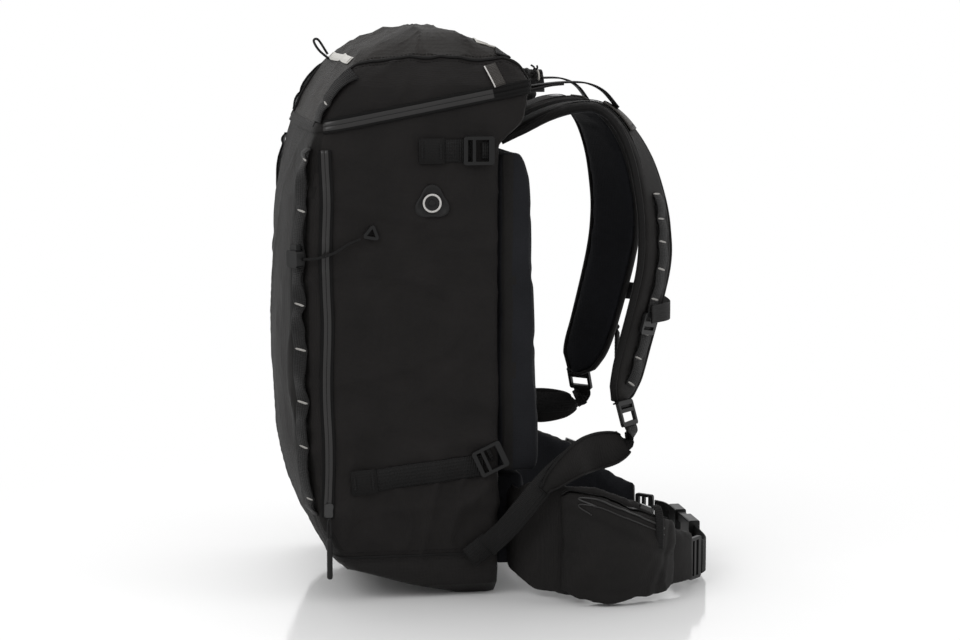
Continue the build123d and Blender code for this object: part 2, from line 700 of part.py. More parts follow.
# ---------------------------------------------------------------- every node
def make_all():
    """Every node of the backpack."""
    nodes = {**make_shell(), **make_back(), **make_trim(), **make_side_straps(), **make_sliders(), **make_tool_cord()}
    nodes.update(make_sternum())
    nodes.update(make_hip_buckle())
    nodes.update(make_top())
    nodes.update(make_straps())
    for name, shape in make_hip_wing().items():
        nodes[f"{name}_right"] = shape
        nodes[f"{name}_left"] = flipped(shape)
    return nodes


os.makedirs("parts", exist_ok=True)
for node_name, node_shape in make_all().items():
    write(node_name, node_shape)
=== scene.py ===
"""The finished look of a ski backpack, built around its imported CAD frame.

Every piece is in metres in the row frame: +Z up, +Y towards the wearer, +X to the wearer's right. Soft goods are
modelled and simulated here, hardware is modelled or dressed, and a plain white studio stands around the pack.
"""

from __future__ import annotations

import json
import logging
import math
from contextlib import contextmanager
from dataclasses import dataclass, field
from enum import Enum
from typing import Callable, Iterable, Iterator, Sequence

import bmesh
import bpy
from mathutils import Matrix, Vector, noise
from mathutils.bvhtree import BVHTree

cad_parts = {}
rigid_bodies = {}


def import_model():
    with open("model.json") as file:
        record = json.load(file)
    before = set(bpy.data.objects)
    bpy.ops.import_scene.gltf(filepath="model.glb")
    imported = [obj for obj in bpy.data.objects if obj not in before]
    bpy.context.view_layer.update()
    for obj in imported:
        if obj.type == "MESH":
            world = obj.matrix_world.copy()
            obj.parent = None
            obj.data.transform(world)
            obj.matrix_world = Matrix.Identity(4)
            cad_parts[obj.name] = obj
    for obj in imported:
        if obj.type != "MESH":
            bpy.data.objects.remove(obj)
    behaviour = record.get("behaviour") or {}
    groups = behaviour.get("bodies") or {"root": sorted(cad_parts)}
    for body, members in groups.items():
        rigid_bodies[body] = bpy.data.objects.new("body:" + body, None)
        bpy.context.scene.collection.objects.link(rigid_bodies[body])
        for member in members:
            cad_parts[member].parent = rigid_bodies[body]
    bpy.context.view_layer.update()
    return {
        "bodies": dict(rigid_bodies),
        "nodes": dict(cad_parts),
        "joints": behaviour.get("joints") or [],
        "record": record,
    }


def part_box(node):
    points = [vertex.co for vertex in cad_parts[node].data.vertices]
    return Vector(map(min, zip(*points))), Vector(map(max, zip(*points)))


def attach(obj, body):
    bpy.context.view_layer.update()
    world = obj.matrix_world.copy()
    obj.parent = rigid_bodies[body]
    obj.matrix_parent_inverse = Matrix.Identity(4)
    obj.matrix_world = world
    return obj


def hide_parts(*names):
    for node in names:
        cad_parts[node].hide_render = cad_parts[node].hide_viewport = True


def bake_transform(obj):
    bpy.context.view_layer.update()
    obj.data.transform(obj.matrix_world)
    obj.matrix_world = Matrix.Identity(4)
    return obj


LOG = logging.getLogger("backpack")
MM = 0.001
STEP = 0.004  # spacing of points along seams and bands
FINE_STEP = 0.003  # the same on short or tightly curved ones
TACK_LIFT = 0.0013  # from a band's middle line to the thread on top of it
SHRINK = 0.0012  # how far a padded cover is drawn in before it swells
FRAME: dict = {}


# ---------------------------------------------------------------- finishes
def add_node(tree: bpy.types.NodeTree, kind: str, inputs: dict | None = None, **settings: object) -> bpy.types.Node:
    """Adds a shader node.

    Args:
        tree: The node tree.
        kind: The node's type, without its ShaderNode prefix.
        inputs: For each input, a constant or the socket that feeds it.
        settings: Properties of the node itself.

    Returns:
        The new node.
    """
    node = tree.nodes.new(f"ShaderNode{kind}")
    for name, value in settings.items():
        setattr(node, name, value)
    for name, value in (inputs or {}).items():
        if isinstance(value, bpy.types.NodeSocket):
            tree.links.new(value, node.inputs[name])
        else:
            node.inputs[name].default_value = value
    return node


def calculate(tree: bpy.types.NodeTree, operation: str, *values: object) -> bpy.types.NodeSocket:
    """A maths node's result for constants or sockets."""
    return add_node(tree, "Math", dict(enumerate(values)), operation=operation).outputs[0]


def blank_material(name: str) -> tuple[bpy.types.Material, bpy.types.NodeTree]:
    """A material with an empty node tree."""
    mat = bpy.data.materials.new(name)
    mat.use_nodes = True
    mat.node_tree.nodes.clear()
    return mat, mat.node_tree


class Texture(Enum):
    """How a finish's surface is patterned."""

    WEAVE = "weave"
    RIBBED = "ribbed"
    MESH = "mesh"
    GRAIN = "grain"
    FILM = "film"
    BRAID = "braid"
    METAL = "metal"


@dataclass(frozen=True)
class Finish:
    """One material of the pack.

    Args:
        name: The material's name.
        colour: Linear base colour.
        texture: The surface pattern.
        rough: Mean roughness.
        shine: Specular level.
        sheen: Weight of the cloth sheen.
        variation: How far the colour wanders, as a share.
        bump: Depth of the pattern in metres.
        pitch: Spacing of the pattern in metres.
        metallic: 1 for bare metal.
    """

    name: str
    colour: tuple[float, float, float]
    texture: Texture
    rough: float = 0.8
    shine: float = 0.3
    sheen: float = 0.0
    variation: float = 0.25
    bump: float = 0.0002
    pitch: float = 0.0012
    metallic: float = 0.0

    def build(self) -> bpy.types.Material:
        """Makes the material's nodes.

        Returns:
            The new material.
        """
        mat, tree = blank_material(self.name)
        coords = add_node(tree, "TexCoord")
        on_uv = self.texture in (Texture.RIBBED, Texture.BRAID)
        place = coords.outputs["UV" if on_uv else "Object"]
        tone = self._noise(tree, place, 22.0, 5.0)
        fine = self._noise(tree, place, 900.0, 3.0)
        height = self._pattern(tree, place, fine)
        bump = add_node(tree, "Bump", {"Distance": self.bump, "Strength": 1.0, "Height": height})
        surface = {
            "Base Color": self._colour(tree, tone, fine),
            "Roughness": self._roughness(tree, tone),
            "Specular IOR Level": self.shine,
            "Metallic": self.metallic,
            "Sheen Weight": self.sheen,
            "Sheen Roughness": 0.45,
            "Sheen Tint": (0.8, 0.78, 0.78, 1.0),
            "Normal": bump.outputs["Normal"],
        }
        shader = add_node(tree, "BsdfPrincipled", surface)
        add_node(tree, "OutputMaterial", {"Surface": shader.outputs["BSDF"]})
        return mat

    def _noise(
        self, tree: bpy.types.NodeTree, place: bpy.types.NodeSocket, scale: float, detail: float
    ) -> bpy.types.NodeSocket:
        """A noise texture's factor socket at one scale."""
        return add_node(tree, "TexNoise", {"Scale": scale, "Detail": detail, "Vector": place}).outputs["Fac"]

    def _colour(
        self, tree: bpy.types.NodeTree, tone: bpy.types.NodeSocket, fine: bpy.types.NodeSocket
    ) -> bpy.types.NodeSocket:
        """Base colour: a dark and a light tone mixed by broad and fine noise.

        Args:
            tree: The material's nodes.
            tone: Broad noise.
            fine: Fine noise.

        Returns:
            The colour socket.
        """
        ramp = add_node(tree, "ValToRGB", {0: calculate(tree, "MULTIPLY_ADD", fine, 0.45, tone)})
        stops = ramp.color_ramp.elements
        for stop, position, level in zip(stops, (0.42, 1.0), (1.0 - self.variation, 1.0 + self.variation)):
            stop.position = position
            stop.color = (*[min(1.0, c * level) for c in self.colour], 1.0)
        return ramp.outputs["Color"]

    def _roughness(self, tree: bpy.types.NodeTree, tone: bpy.types.NodeSocket) -> bpy.types.NodeSocket:
        """Roughness wanders with the broad tone, as handled cloth does."""
        ends = {"To Min": max(0.05, self.rough - 0.08), "To Max": min(1.0, self.rough + 0.08)}
        return add_node(tree, "MapRange", {**ends, "Value": tone}).outputs["Result"]

    def _pattern(
        self, tree: bpy.types.NodeTree, place: bpy.types.NodeSocket, fine: bpy.types.NodeSocket
    ) -> bpy.types.NodeSocket:
        """The height socket that the bump reads.

        Args:
            tree: The material's nodes.
            place: The coordinates.
            fine: Fine noise.

        Returns:
            The height socket.
        """
        if self.texture in (Texture.WEAVE, Texture.RIBBED, Texture.BRAID):
            return self._waves(tree, place, fine)
        if self.texture is Texture.MESH:
            cells = {"Scale": 1.0 / self.pitch, "Randomness": 0.25, "Vector": place}
            return add_node(tree, "TexVoronoi", cells).outputs["Distance"]
        return fine

    def _waves(
        self, tree: bpy.types.NodeTree, place: bpy.types.NodeSocket, fine: bpy.types.NodeSocket
    ) -> bpy.types.NodeSocket:
        """Threads that cross, or ribs across a webbing.

        Args:
            tree: The material's nodes.
            place: The coordinates.
            fine: Fine noise.

        Returns:
            The height socket.
        """
        split = add_node(tree, "SeparateXYZ", {0: place})
        ribbed = self.texture is Texture.RIBBED
        turns = 2 * math.pi / self.pitch
        total = None
        for axis in "XYZ" if self.texture is Texture.WEAVE else "XY":
            rate = turns * (0.5 if ribbed and axis == "X" else 1.0)
            sine = calculate(tree, "SINE", calculate(tree, "MULTIPLY", split.outputs[axis], rate))
            if total is not None:
                sine = calculate(tree, "MULTIPLY_ADD", total, 0.5 if ribbed else 0.8, sine)
            total = sine
        return calculate(tree, "ADD", total, fine)


class Palette:
    """Every finish of the pack, made once."""

    FINISHES = (
        Finish("body_nylon", (0.0104, 0.0093, 0.0090), Texture.WEAVE, 0.66, 0.13, 0.0, 0.35, 0.00012, 0.0012),
        Finish("front_nylon", (0.0060, 0.0054, 0.0051), Texture.WEAVE, 0.62, 0.12, 0.0, 0.35, 0.00012, 0.0012),
        Finish("lid_nylon", (0.0118, 0.0102, 0.0092), Texture.WEAVE, 0.58, 0.15, 0.0, 0.40, 0.00014, 0.0014),
        Finish("base_nylon", (0.0088, 0.0079, 0.0076), Texture.WEAVE, 0.58, 0.15, 0.0, 0.35, 0.00016, 0.0015),
        Finish("lining", (0.0450, 0.0450, 0.0470), Texture.WEAVE, 0.85, 0.20, 0.0, 0.20, 0.00008, 0.0010),
        Finish("strap_nylon", (0.0092, 0.0084, 0.0081), Texture.WEAVE, 0.66, 0.14, 0.0, 0.35, 0.00012, 0.0012),
        Finish("spacer_mesh", (0.0120, 0.0124, 0.0145), Texture.MESH, 0.85, 0.12, 0.02, 0.30, 0.00045, 0.0026),
        Finish("webbing", (0.0050, 0.0047, 0.0047), Texture.RIBBED, 0.55, 0.16, 0.0, 0.25, 0.00025, 0.0018),
        Finish("binding", (0.0060, 0.0056, 0.0055), Texture.RIBBED, 0.62, 0.14, 0.0, 0.25, 0.00018, 0.0014),
        Finish("zip_film", (0.0130, 0.0122, 0.0120), Texture.FILM, 0.34, 0.36, 0.0, 0.18, 0.00004, 0.002),
        Finish("zip_edge", (0.0040, 0.0038, 0.0038), Texture.RIBBED, 0.72, 0.12, 0.0, 0.25, 0.00014, 0.0012),
        Finish("black_plastic", (0.0050, 0.0049, 0.0050), Texture.GRAIN, 0.36, 0.24, 0.0, 0.18, 0.00004, 0.002),
        Finish("zip_metal", (0.0120, 0.0118, 0.0118), Texture.METAL, 0.28, 0.50, 0.0, 0.20, 0.00003, 0.002, 0.0),
        Finish("rubber", (0.0060, 0.0058, 0.0058), Texture.GRAIN, 0.48, 0.22, 0.0, 0.18, 0.00005, 0.002),
        Finish("pale_mark", (0.5200, 0.5050, 0.4900), Texture.GRAIN, 0.60, 0.35, 0.0, 0.10, 0.00003, 0.002),
        Finish("bartack", (0.4200, 0.4050, 0.3850), Texture.RIBBED, 0.70, 0.30, 0.0, 0.20, 0.00020, 0.0009),
        Finish("reflective", (0.5200, 0.5050, 0.4750), Texture.RIBBED, 0.42, 0.45, 0.0, 0.12, 0.00012, 0.0020),
        Finish("grey_tab", (0.0300, 0.0270, 0.0240), Texture.RIBBED, 0.55, 0.24, 0.0, 0.20, 0.00020, 0.0018),
        Finish("elastic", (0.0055, 0.0052, 0.0052), Texture.BRAID, 0.60, 0.20, 0.0, 0.20, 0.00018, 0.0014),
        Finish("pale_cord", (0.4200, 0.4050, 0.3800), Texture.BRAID, 0.62, 0.34, 0.0, 0.15, 0.00015, 0.0014),
        Finish("frame_plastic", (0.0450, 0.0450, 0.0460), Texture.GRAIN, 0.45, 0.45, 0.0, 0.12, 0.00004, 0.002),
        Finish("stay_metal", (0.5600, 0.5650, 0.5750), Texture.METAL, 0.32, 0.50, 0.0, 0.08, 0.00003, 0.002, 1.0),
    )

    def __init__(self) -> None:
        """Builds every material."""
        self.materials = {finish.name: finish.build() for finish in self.FINISHES}

    def __getitem__(self, name: str) -> bpy.types.Material:
        """The material with that name."""
        return self.materials[name]


# ---------------------------------------------------------------- mesh tools
@dataclass
class Frame:
    """A place along a route: its centre, the way its width runs and the way its face looks."""

    centre: Vector
    side: Vector
    out: Vector
    width: float = 1.0
    thick: float = 1.0


def new_object(
    name: str, bm: bmesh.types.BMesh, materials: Sequence[bpy.types.Material], smooth: bool = True
) -> bpy.types.Object:
    """Turns a bmesh into a linked object at the origin.

    Args:
        name: The piece's name.
        bm: The mesh, which is freed.
        materials: Its material slots.
        smooth: Whether its faces are shaded smooth.

    Returns:
        The new object.
    """
    mesh = bpy.data.meshes.new(name)
    for face in bm.faces:
        face.smooth = smooth
    bm.to_mesh(mesh)
    bm.free()
    for material in materials:
        mesh.materials.append(material)
    obj = bpy.data.objects.new(name, mesh)
    bpy.context.scene.collection.objects.link(obj)
    return obj


def turns(count: int) -> list[float]:
    """Angles that part a full turn into equal steps."""
    return [2 * math.pi * i / count for i in range(count)]


def spaced(start: float, end: float, count: int) -> list[float]:
    """Even steps from start to end, both included."""
    return [start + (end - start) * i / count for i in range(count + 1)]


@contextmanager
def editing(obj: bpy.types.Object) -> Iterator[bmesh.types.BMesh]:
    """A piece's mesh for editing, written back smooth when the block ends.

    Args:
        obj: The piece.
    """
    bm = bmesh.new()
    bm.from_mesh(obj.data)
    bm.normal_update()
    yield bm
    for face in bm.faces:
        face.smooth = True
    bm.to_mesh(obj.data)
    bm.free()


def displace(bm: bmesh.types.BMesh, depth: Callable[[Vector, Vector], float]) -> None:
    """Moves each point of a mesh along its normal.

    Args:
        bm: The mesh.
        depth: Gives the distance outwards for a point and its normal.
    """
    bm.normal_update()
    moves = [(v, v.normal.copy(), depth(v.co, v.normal)) for v in bm.verts]
    for vert, normal, distance in moves:
        vert.co += normal * distance


def soften(bm: bmesh.types.BMesh, verts: Sequence[bmesh.types.BMVert], rounds: int) -> None:
    """Evens out points with their neighbours, a few times over."""
    for _ in range(rounds):
        bmesh.ops.smooth_vert(bm, verts=verts, factor=0.5, use_axis_x=True, use_axis_y=True, use_axis_z=True)


def smooth_line(points: Sequence[Sequence[float]], steps: int) -> list[Vector]:
    """A smooth line through points.

    Args:
        points: The points that the line passes.
        steps: Pieces per span.

    Returns:
        The line's points, ends included.
    """
    fixed = [Vector(p) for p in points]
    ends = [fixed[0] * 2 - fixed[1], *fixed, fixed[-1] * 2 - fixed[-2]]
    line = []
    for a, b, c, d in zip(ends, ends[1:], ends[2:], ends[3:]):
        for step in range(steps):
            t = step / steps
            t2, t3 = t * t, t * t * t
            line.append(0.5 * ((2 * b) + (c - a) * t + (2 * a - 5 * b + 4 * c - d) * t2 + (3 * b - a - 3 * c + d) * t3))
    return [*line, fixed[-1]]


def frames_along(line: Sequence[Vector], sides: Callable[[int], Vector]) -> list[Frame]:
    """Frames along a line.

    Args:
        line: The route's points.
        sides: Gives the wanted width direction at each point.

    Returns:
        One frame a point, with its side square to the line.
    """
    frames = []
    for i, point in enumerate(line):
        along = (line[min(i + 1, len(line) - 1)] - line[max(i - 1, 0)]).normalized()
        side = sides(i)
        side = (side - along * along.dot(side)).normalized()
        frames.append(Frame(point, side, along.cross(side)))
    return frames


def ring_surface(rings: Sequence[Sequence[Vector]], closed: bool = False) -> bmesh.types.BMesh:
    """Joins rings of points into one closed surface.

    Args:
        rings: Rings with the same number of points.
        closed: Whether the last ring joins the first.

    Returns:
        The surface, with a UV map named weave in metres.
    """
    around, steps = len(rings[0]), len(rings) - (0 if closed else 1)
    girth, run = [0.0], [0.0]
    for i in range(around):
        girth.append(girth[-1] + (rings[0][(i + 1) % around] - rings[0][i]).length)
    for j in range(steps):
        run.append(run[-1] + (rings[(j + 1) % len(rings)][0] - rings[j][0]).length)
    bm = bmesh.new()
    bmesh.ops.create_grid(bm, x_segments=around, y_segments=steps, size=1.0)
    place = {v: (round((v.co.x + 1) / 2 * around), round((v.co.y + 1) / 2 * steps)) for v in bm.verts}
    uv = bm.loops.layers.uv.new("weave")
    for face in bm.faces:
        for loop in face.loops:
            i, j = place[loop.vert]
            loop[uv].uv = (girth[i], run[j])
    for vert, (i, j) in place.items():
        vert.co = rings[j % len(rings)][i % around]
    bmesh.ops.remove_doubles(bm, verts=bm.verts, dist=1e-6)
    bmesh.ops.holes_fill(bm, edges=[e for e in bm.edges if e.is_boundary], sides=0)
    bmesh.ops.recalc_face_normals(bm, faces=bm.faces)
    return bm


def sweep(frames: Sequence[Frame], profile: Sequence[tuple[float, float]], closed: bool = False) -> bmesh.types.BMesh:
    """Sweeps a closed profile along frames.

    Args:
        frames: Where the profile stands, with its width and thickness as factors.
        profile: Corners as distances along the frame's side and out directions.
        closed: Whether the last frame joins the first.

    Returns:
        A closed mesh with a UV map named weave, in metres.
    """
    rings = [[f.centre + f.side * (u * f.width) + f.out * (v * f.thick) for u, v in profile] for f in frames]
    return ring_surface(rings, closed)


def flat_profile(width: float, thick: float, edge: float = 0.35, low: float = 0.0) -> list[tuple[float, float]]:
    """A flat band's section with eased edges, lying on low.

    Args:
        width: Its full width.
        thick: Its thickness.
        edge: How much of the thickness is rounded away at the edges.
        low: Height of its underside.

    Returns:
        The section's corners.
    """
    half, ease = width / 2, thick * edge
    top = low + thick
    return [
        (-half, low + ease),
        (-half + ease, low),
        (half - ease, low),
        (half, low + ease),
        (half, top - ease),
        (half - ease, top),
        (0.0, top + thick * 0.05),
        (-half + ease, top),
        (-half, top - ease),
    ]


def round_profile(radius: float, sides: int = 10, flat: float = 1.0) -> list[tuple[float, float]]:
    """A round section, pressed to flat times its height."""
    return [(radius * math.cos(t), radius * flat * math.sin(t)) for t in turns(sides)]


def tube(
    name: str,
    line: Sequence[Vector],
    radius: float,
    material: bpy.types.Material,
    closed: bool = False,
    sides: int = 8,
) -> bpy.types.Object:
    """A cord along a line, held as straight as its route.

    Args:
        name: The piece's name.
        line: Its route.
        radius: Its radius.
        material: Its finish.
        closed: Whether it is a loop.
        sides: Faces round it.

    Returns:
        The new object.
    """
    first = (line[1] - line[0]).normalized()
    side = first.orthogonal().normalized()
    frames = []
    count = len(line)
    for i, point in enumerate(line):
        before = line[(i - 1) % count] if closed or i else line[0]
        after = line[(i + 1) % count] if closed or i < count - 1 else line[-1]
        along = (after - before).normalized()
        side = (side - along * along.dot(side)).normalized()
        frames.append(Frame(point, side, along.cross(side)))
    return new_object(name, sweep(frames, round_profile(radius, sides), closed), [material])


def join(name: str, objects: Sequence[bpy.types.Object]) -> bpy.types.Object:
    """Joins objects into one, keeping their materials.

    Args:
        name: The joined piece's name.
        objects: What to join.

    Returns:
        The joined object.
    """
    bm = bmesh.new()
    materials: list[bpy.types.Material] = []
    for obj in objects:
        before = len(bm.faces)
        bm.from_mesh(obj.data)
        bm.faces.ensure_lookup_table()
        for face in bm.faces[before:]:
            material = obj.data.materials[face.material_index]
            if material not in materials:
                materials.append(material)
            face.material_index = materials.index(material)
    joined = new_object(name, bm, materials)
    for obj in objects:
        bpy.data.objects.remove(obj)
    return joined


def mirrored(obj: bpy.types.Object, name: str) -> bpy.types.Object:
    """A mirror image across the middle of the pack.

    Args:
        obj: The piece on the wearer's right.
        name: The name of the piece on the left.

    Returns:
        The new object.
    """
    bm = bmesh.new()
    bm.from_mesh(obj.data)
    bmesh.ops.scale(bm, vec=(-1, 1, 1), verts=bm.verts)
    bmesh.ops.reverse_faces(bm, faces=bm.faces)
    return new_object(name, bm, list(obj.data.materials))


def settle(obj: bpy.types.Object, body: str, slot: str, *nodes: str) -> bpy.types.Object:
    """Puts a finished piece on its body.

    Args:
        obj: The piece.
        body: The CAD body that it rides on.
        slot: The record's material slot; not used.
        nodes: CAD nodes that it stands for.

    Returns:
        The same piece.
    """
    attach(obj, body)
    if nodes:
        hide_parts(*nodes)
    LOG.info("%s rides on %s", obj.name, body)
    return obj


def settle_pair(right: bpy.types.Object, stem: str, body: str, slot: str, *nodes: str) -> None:
    """Puts a piece and its mirror image on the same body.

    Args:
        right: The piece on the wearer's right.
        stem: Both names without their side.
        body: The CAD body that they ride on.
        slot: The record's material slot.
        nodes: CAD nodes that the pair stands for.
    """
    left = mirrored(right, f"{stem}_left")
    settle(right, body, slot, *nodes)
    settle(left, body, slot)


def ripple(point: Vector, scale: float, stretch: Vector, seed: float) -> float:
    """Ridged noise between 0 and 1, drawn out along an axis.

    Args:
        point: Where it is read, in metres.
        scale: Ridges per metre.
        stretch: Factors on the three axes.
        seed: Moves the pattern.

    Returns:
        1 on a ridge, falling to 0 between ridges.
    """
    place = Vector((point.x * stretch.x, point.y * stretch.y, point.z * stretch.z)) * scale
    return 1.0 - abs(noise.noise(place + Vector((seed, seed * 1.7, -seed))))


# ---------------------------------------------------------------- the shell
@dataclass
class Hull:
    """The pack's outer form, as rounded sections stacked from the base to the top of the lid."""

    height: float
    back_y: float
    depth: float
    half_width: float
    front_seam_z: float = 0.508
    rear_seam_z: float = 0.551
    front_radius: float = 0.032
    top_radius: float = 0.020
    rear_radius: float = 0.012
    stations: tuple[tuple[float, float, float, float], ...] = (
        (0.000, 0.236, 0.000, 0.80),
        (0.023, 0.463, 0.000, 0.93),
        (0.056, 0.760, 0.000, 0.98),
        (0.074, 0.815, 0.000, 0.99),
        (0.131, 0.898, 0.000, 1.00),
        (0.188, 0.949, 0.000, 1.00),
        (0.264, 0.986, 0.000, 1.00),
        (0.398, 1.000, 0.000, 1.00),
        (0.586, 1.000, 0.000, 1.00),
        (0.697, 0.981, 0.000, 1.00),
        (0.800, 0.931, 0.000, 1.00),
        (0.838, 0.895, 0.027, 0.99),
        (0.867, 0.861, 0.031, 0.985),
        (0.903, 0.800, 0.035, 0.965),
        (0.936, 0.730, 0.026, 0.89),
        (0.962, 0.660, 0.003, 0.75),
        (0.985, 0.514, -0.027, 0.60),
        (1.000, 0.394, -0.045, 0.38),
    )
    columns: tuple[int, int, int, int] = (44, 9, 44, 5)

    def row(self, share: float) -> tuple[float, float, float]:
        """Depth, rear offset and width at a share of the height.

        Args:
            share: Height as a share of the whole.

        Returns:
            The three values, between the two nearest stations.
        """
        rows = self.stations
        for low, high in zip(rows, rows[1:]):
            if share <= high[0]:
                t = (share - low[0]) / (high[0] - low[0])
                return tuple(low[i] + (high[i] - low[i]) * t for i in (1, 2, 3))
        return rows[-1][1:]

    def front_y(self, z: float) -> float:
        """Y of the front at a height."""
        return self.back_y - self.row(z / self.height)[0] * self.depth

    def seam_z(self, y: float) -> float:
        """Height of the lid seam at a depth."""
        start, end = self.front_y(self.front_seam_z), self.back_y + 0.035
        return self.front_seam_z + (self.rear_seam_z - self.front_seam_z) * (y - start) / (end - start)

    def seam_normal(self) -> Vector:
        """The upward normal of the plane that the lid closes on."""
        rise = self.seam_z(1.0) - self.seam_z(0.0)
        return Vector((0.0, -rise, 1.0)).normalized()

    def ring(self, share: float, shrink: float = 1.0) -> list[Vector]:
        """One rounded section, from the middle of the front round by the wearer's right.

        Args:
            share: Its height as a share of the whole.
            shrink: Size as a share, for closing the ends.

        Returns:
            Its points.
        """
        depth, rear, width = self.row(share)
        z = share * self.height
        front = self.back_y - depth * self.depth
        back = self.back_y + rear
        half = width * self.half_width
        room = 0.42 * (back - front)
        corner = min(max(self.top_radius, self.front_radius - 0.7 * self.depth * (1 - depth)), room)
        heel = min(self.rear_radius, room)
        n_front, n_corner, n_side, n_rear = self.columns
        belly = 0.013 * math.sin(math.pi * min(1.0, share / 0.84)) ** 0.6 if share < 0.84 else 0.0
        right = []
        for i in range(n_front // 2):
            x = (half - corner) * i / (n_front // 2)
            right.append(Vector((x, front - belly * math.cos(0.5 * math.pi * x / half), z)))
        for i in range(n_corner):
            turn = 0.5 * math.pi * i / n_corner
            right.append(Vector((half - corner + corner * math.sin(turn), front + corner - corner * math.cos(turn), z)))
        for i in range(n_side):
            y = front + corner + (back - heel - front - corner) * i / n_side
            right.append(Vector((half, y, z)))
        for i in range(n_rear):
            turn = 0.5 * math.pi * i / n_rear
            right.append(Vector((half - heel + heel * math.cos(turn), back - heel + heel * math.sin(turn), z)))
        for i in range(n_front // 2):
            right.append(Vector(((half - heel) * (1 - i / (n_front // 2)), back, z)))
        right.append(Vector((0.0, back, z)))
        left = [Vector((-p.x, p.y, p.z)) for p in reversed(right[1:-1])]
        middle = Vector((0.0, (front + back) / 2, z))
        return [middle + (p - middle) * shrink for p in right + left]

    def build(self) -> bmesh.types.BMesh:
        """The closed outer form, before any wrinkle."""
        shares = []
        for low, high in zip(self.stations, self.stations[1:]):
            steps = max(2, round((high[0] - low[0]) * self.height / 0.0045))
            shares += [low[0] + (high[0] - low[0]) * i / steps for i in range(steps)]
        shares.append(1.0)
        rings = [self.ring(0.0, k) for k in (0.25, 0.6)] + [self.ring(s) for s in shares]
        rings += [self.ring(1.0, k) for k in (0.75, 0.5, 0.25)]
        bm = ring_surface(rings)
        for _ in range(3):
            soften(bm, [v for v in bm.verts if v.co.z > 0.1], 1)
        return bm


@dataclass(frozen=True)
class Fold:
    """One family of folds.

    Args:
        height: How far its ridges stand up.
        scale: Ridges per metre.
        stretch: Factors on the three axes.
        seed: Moves the pattern.
        power: How narrow the ridges are.
    """

    height: float
    scale: float
    stretch: tuple[float, float, float]
    seed: float
    power: int

    def at(self, point: Vector) -> float:
        """Its height at a point."""
        return self.height * ripple(point, self.scale, Vector(self.stretch), self.seed) ** self.power


@dataclass
class Wrinkles:
    """Folds that loaded cloth takes, as a distance along the surface normal."""

    hull: Hull
    lid: tuple[Fold, ...] = (
        Fold(0.0034, 22.0, (0.55, 1.0, 1.2), 3.1, 8),
        Fold(0.0013, 52.0, (0.7, 1.2, 1.0), 9.4, 7),
    )
    side: tuple[Fold, ...] = (
        Fold(0.0022, 11.0, (1.0, 0.55, 1.5), 5.7, 10),
        Fold(0.0009, 30.0, (1.0, 1.2, 0.7), 7.3, 8),
        Fold(0.0026, 7.0, (1.0, 0.5, 1.3), 6.2, 14),
    )
    base: Fold = Fold(0.0056, 17.0, (1.0, 1.5, 0.75), 1.3, 7)
    front: tuple[Fold, ...] = (
        Fold(0.0022, 9.0, (0.7, 1.0, 0.8), 2.2, 10),
        Fold(0.0006, 30.0, (0.8, 1.0, 1.0), 6.1, 6),
    )
    rear: Fold = Fold(0.0012, 24.0, (1.0, 1.0, 1.0), 4.0, 6)
    pulls: tuple[tuple[float, float, float, Fold], ...] = (
        (-0.02, 0.13, 0.06, Fold(0.0045, 30.0, (1.0, 1.3, 0.7), 4.6, 6)),
        (-0.075, 0.41, 0.08, Fold(0.0030, 36.0, (1.0, 0.5, 1.3), 8.8, 6)),
    )

    def depth(self, point: Vector, normal: Vector) -> float:
        """How far the cloth stands off its plain form.

        Args:
            point: A point of the plain form.
            normal: The surface normal there.

        Returns:
            The distance outwards, in metres.
        """
        z = point.z
        base_fade = min(1.0, max(0.0, (z - 0.006) / 0.05))
        above = z - self.hull.seam_z(point.y)
        seam_fade = min(1.0, abs(above) / 0.012)
        soft = noise.noise(point * 9.0) * 0.0022
        if above > 0:
            ends = min(1.0, max(0.25, (point.y + 0.16) / 0.06))
            calm = 0.4 if abs(normal.x) > 0.75 else 1.0
            folds = ends * sum(fold.at(point) for fold in self.lid)
            return (soft + folds * calm - 0.0012) * seam_fade
        if abs(normal.x) > 0.6:
            lower = max(0.0, 1.0 - abs(z - 0.10) / 0.09)
            folds = sum(fold.at(point) for fold in self.side) + lower * self.base.at(point)
            for y, height, reach, fold in self.pulls:
                away = math.hypot(point.y - y, z - height)
                folds += max(0.0, 1.0 - away / reach) * fold.at(point)
            return (soft + folds - 0.0016) * seam_fade * base_fade
        if normal.y < -0.5:
            folds = sum(fold.at(point) for fold in self.front)
        else:
            folds = self.rear.at(point)
            soft *= 0.4
        return (soft + folds - 0.0014) * seam_fade * base_fade


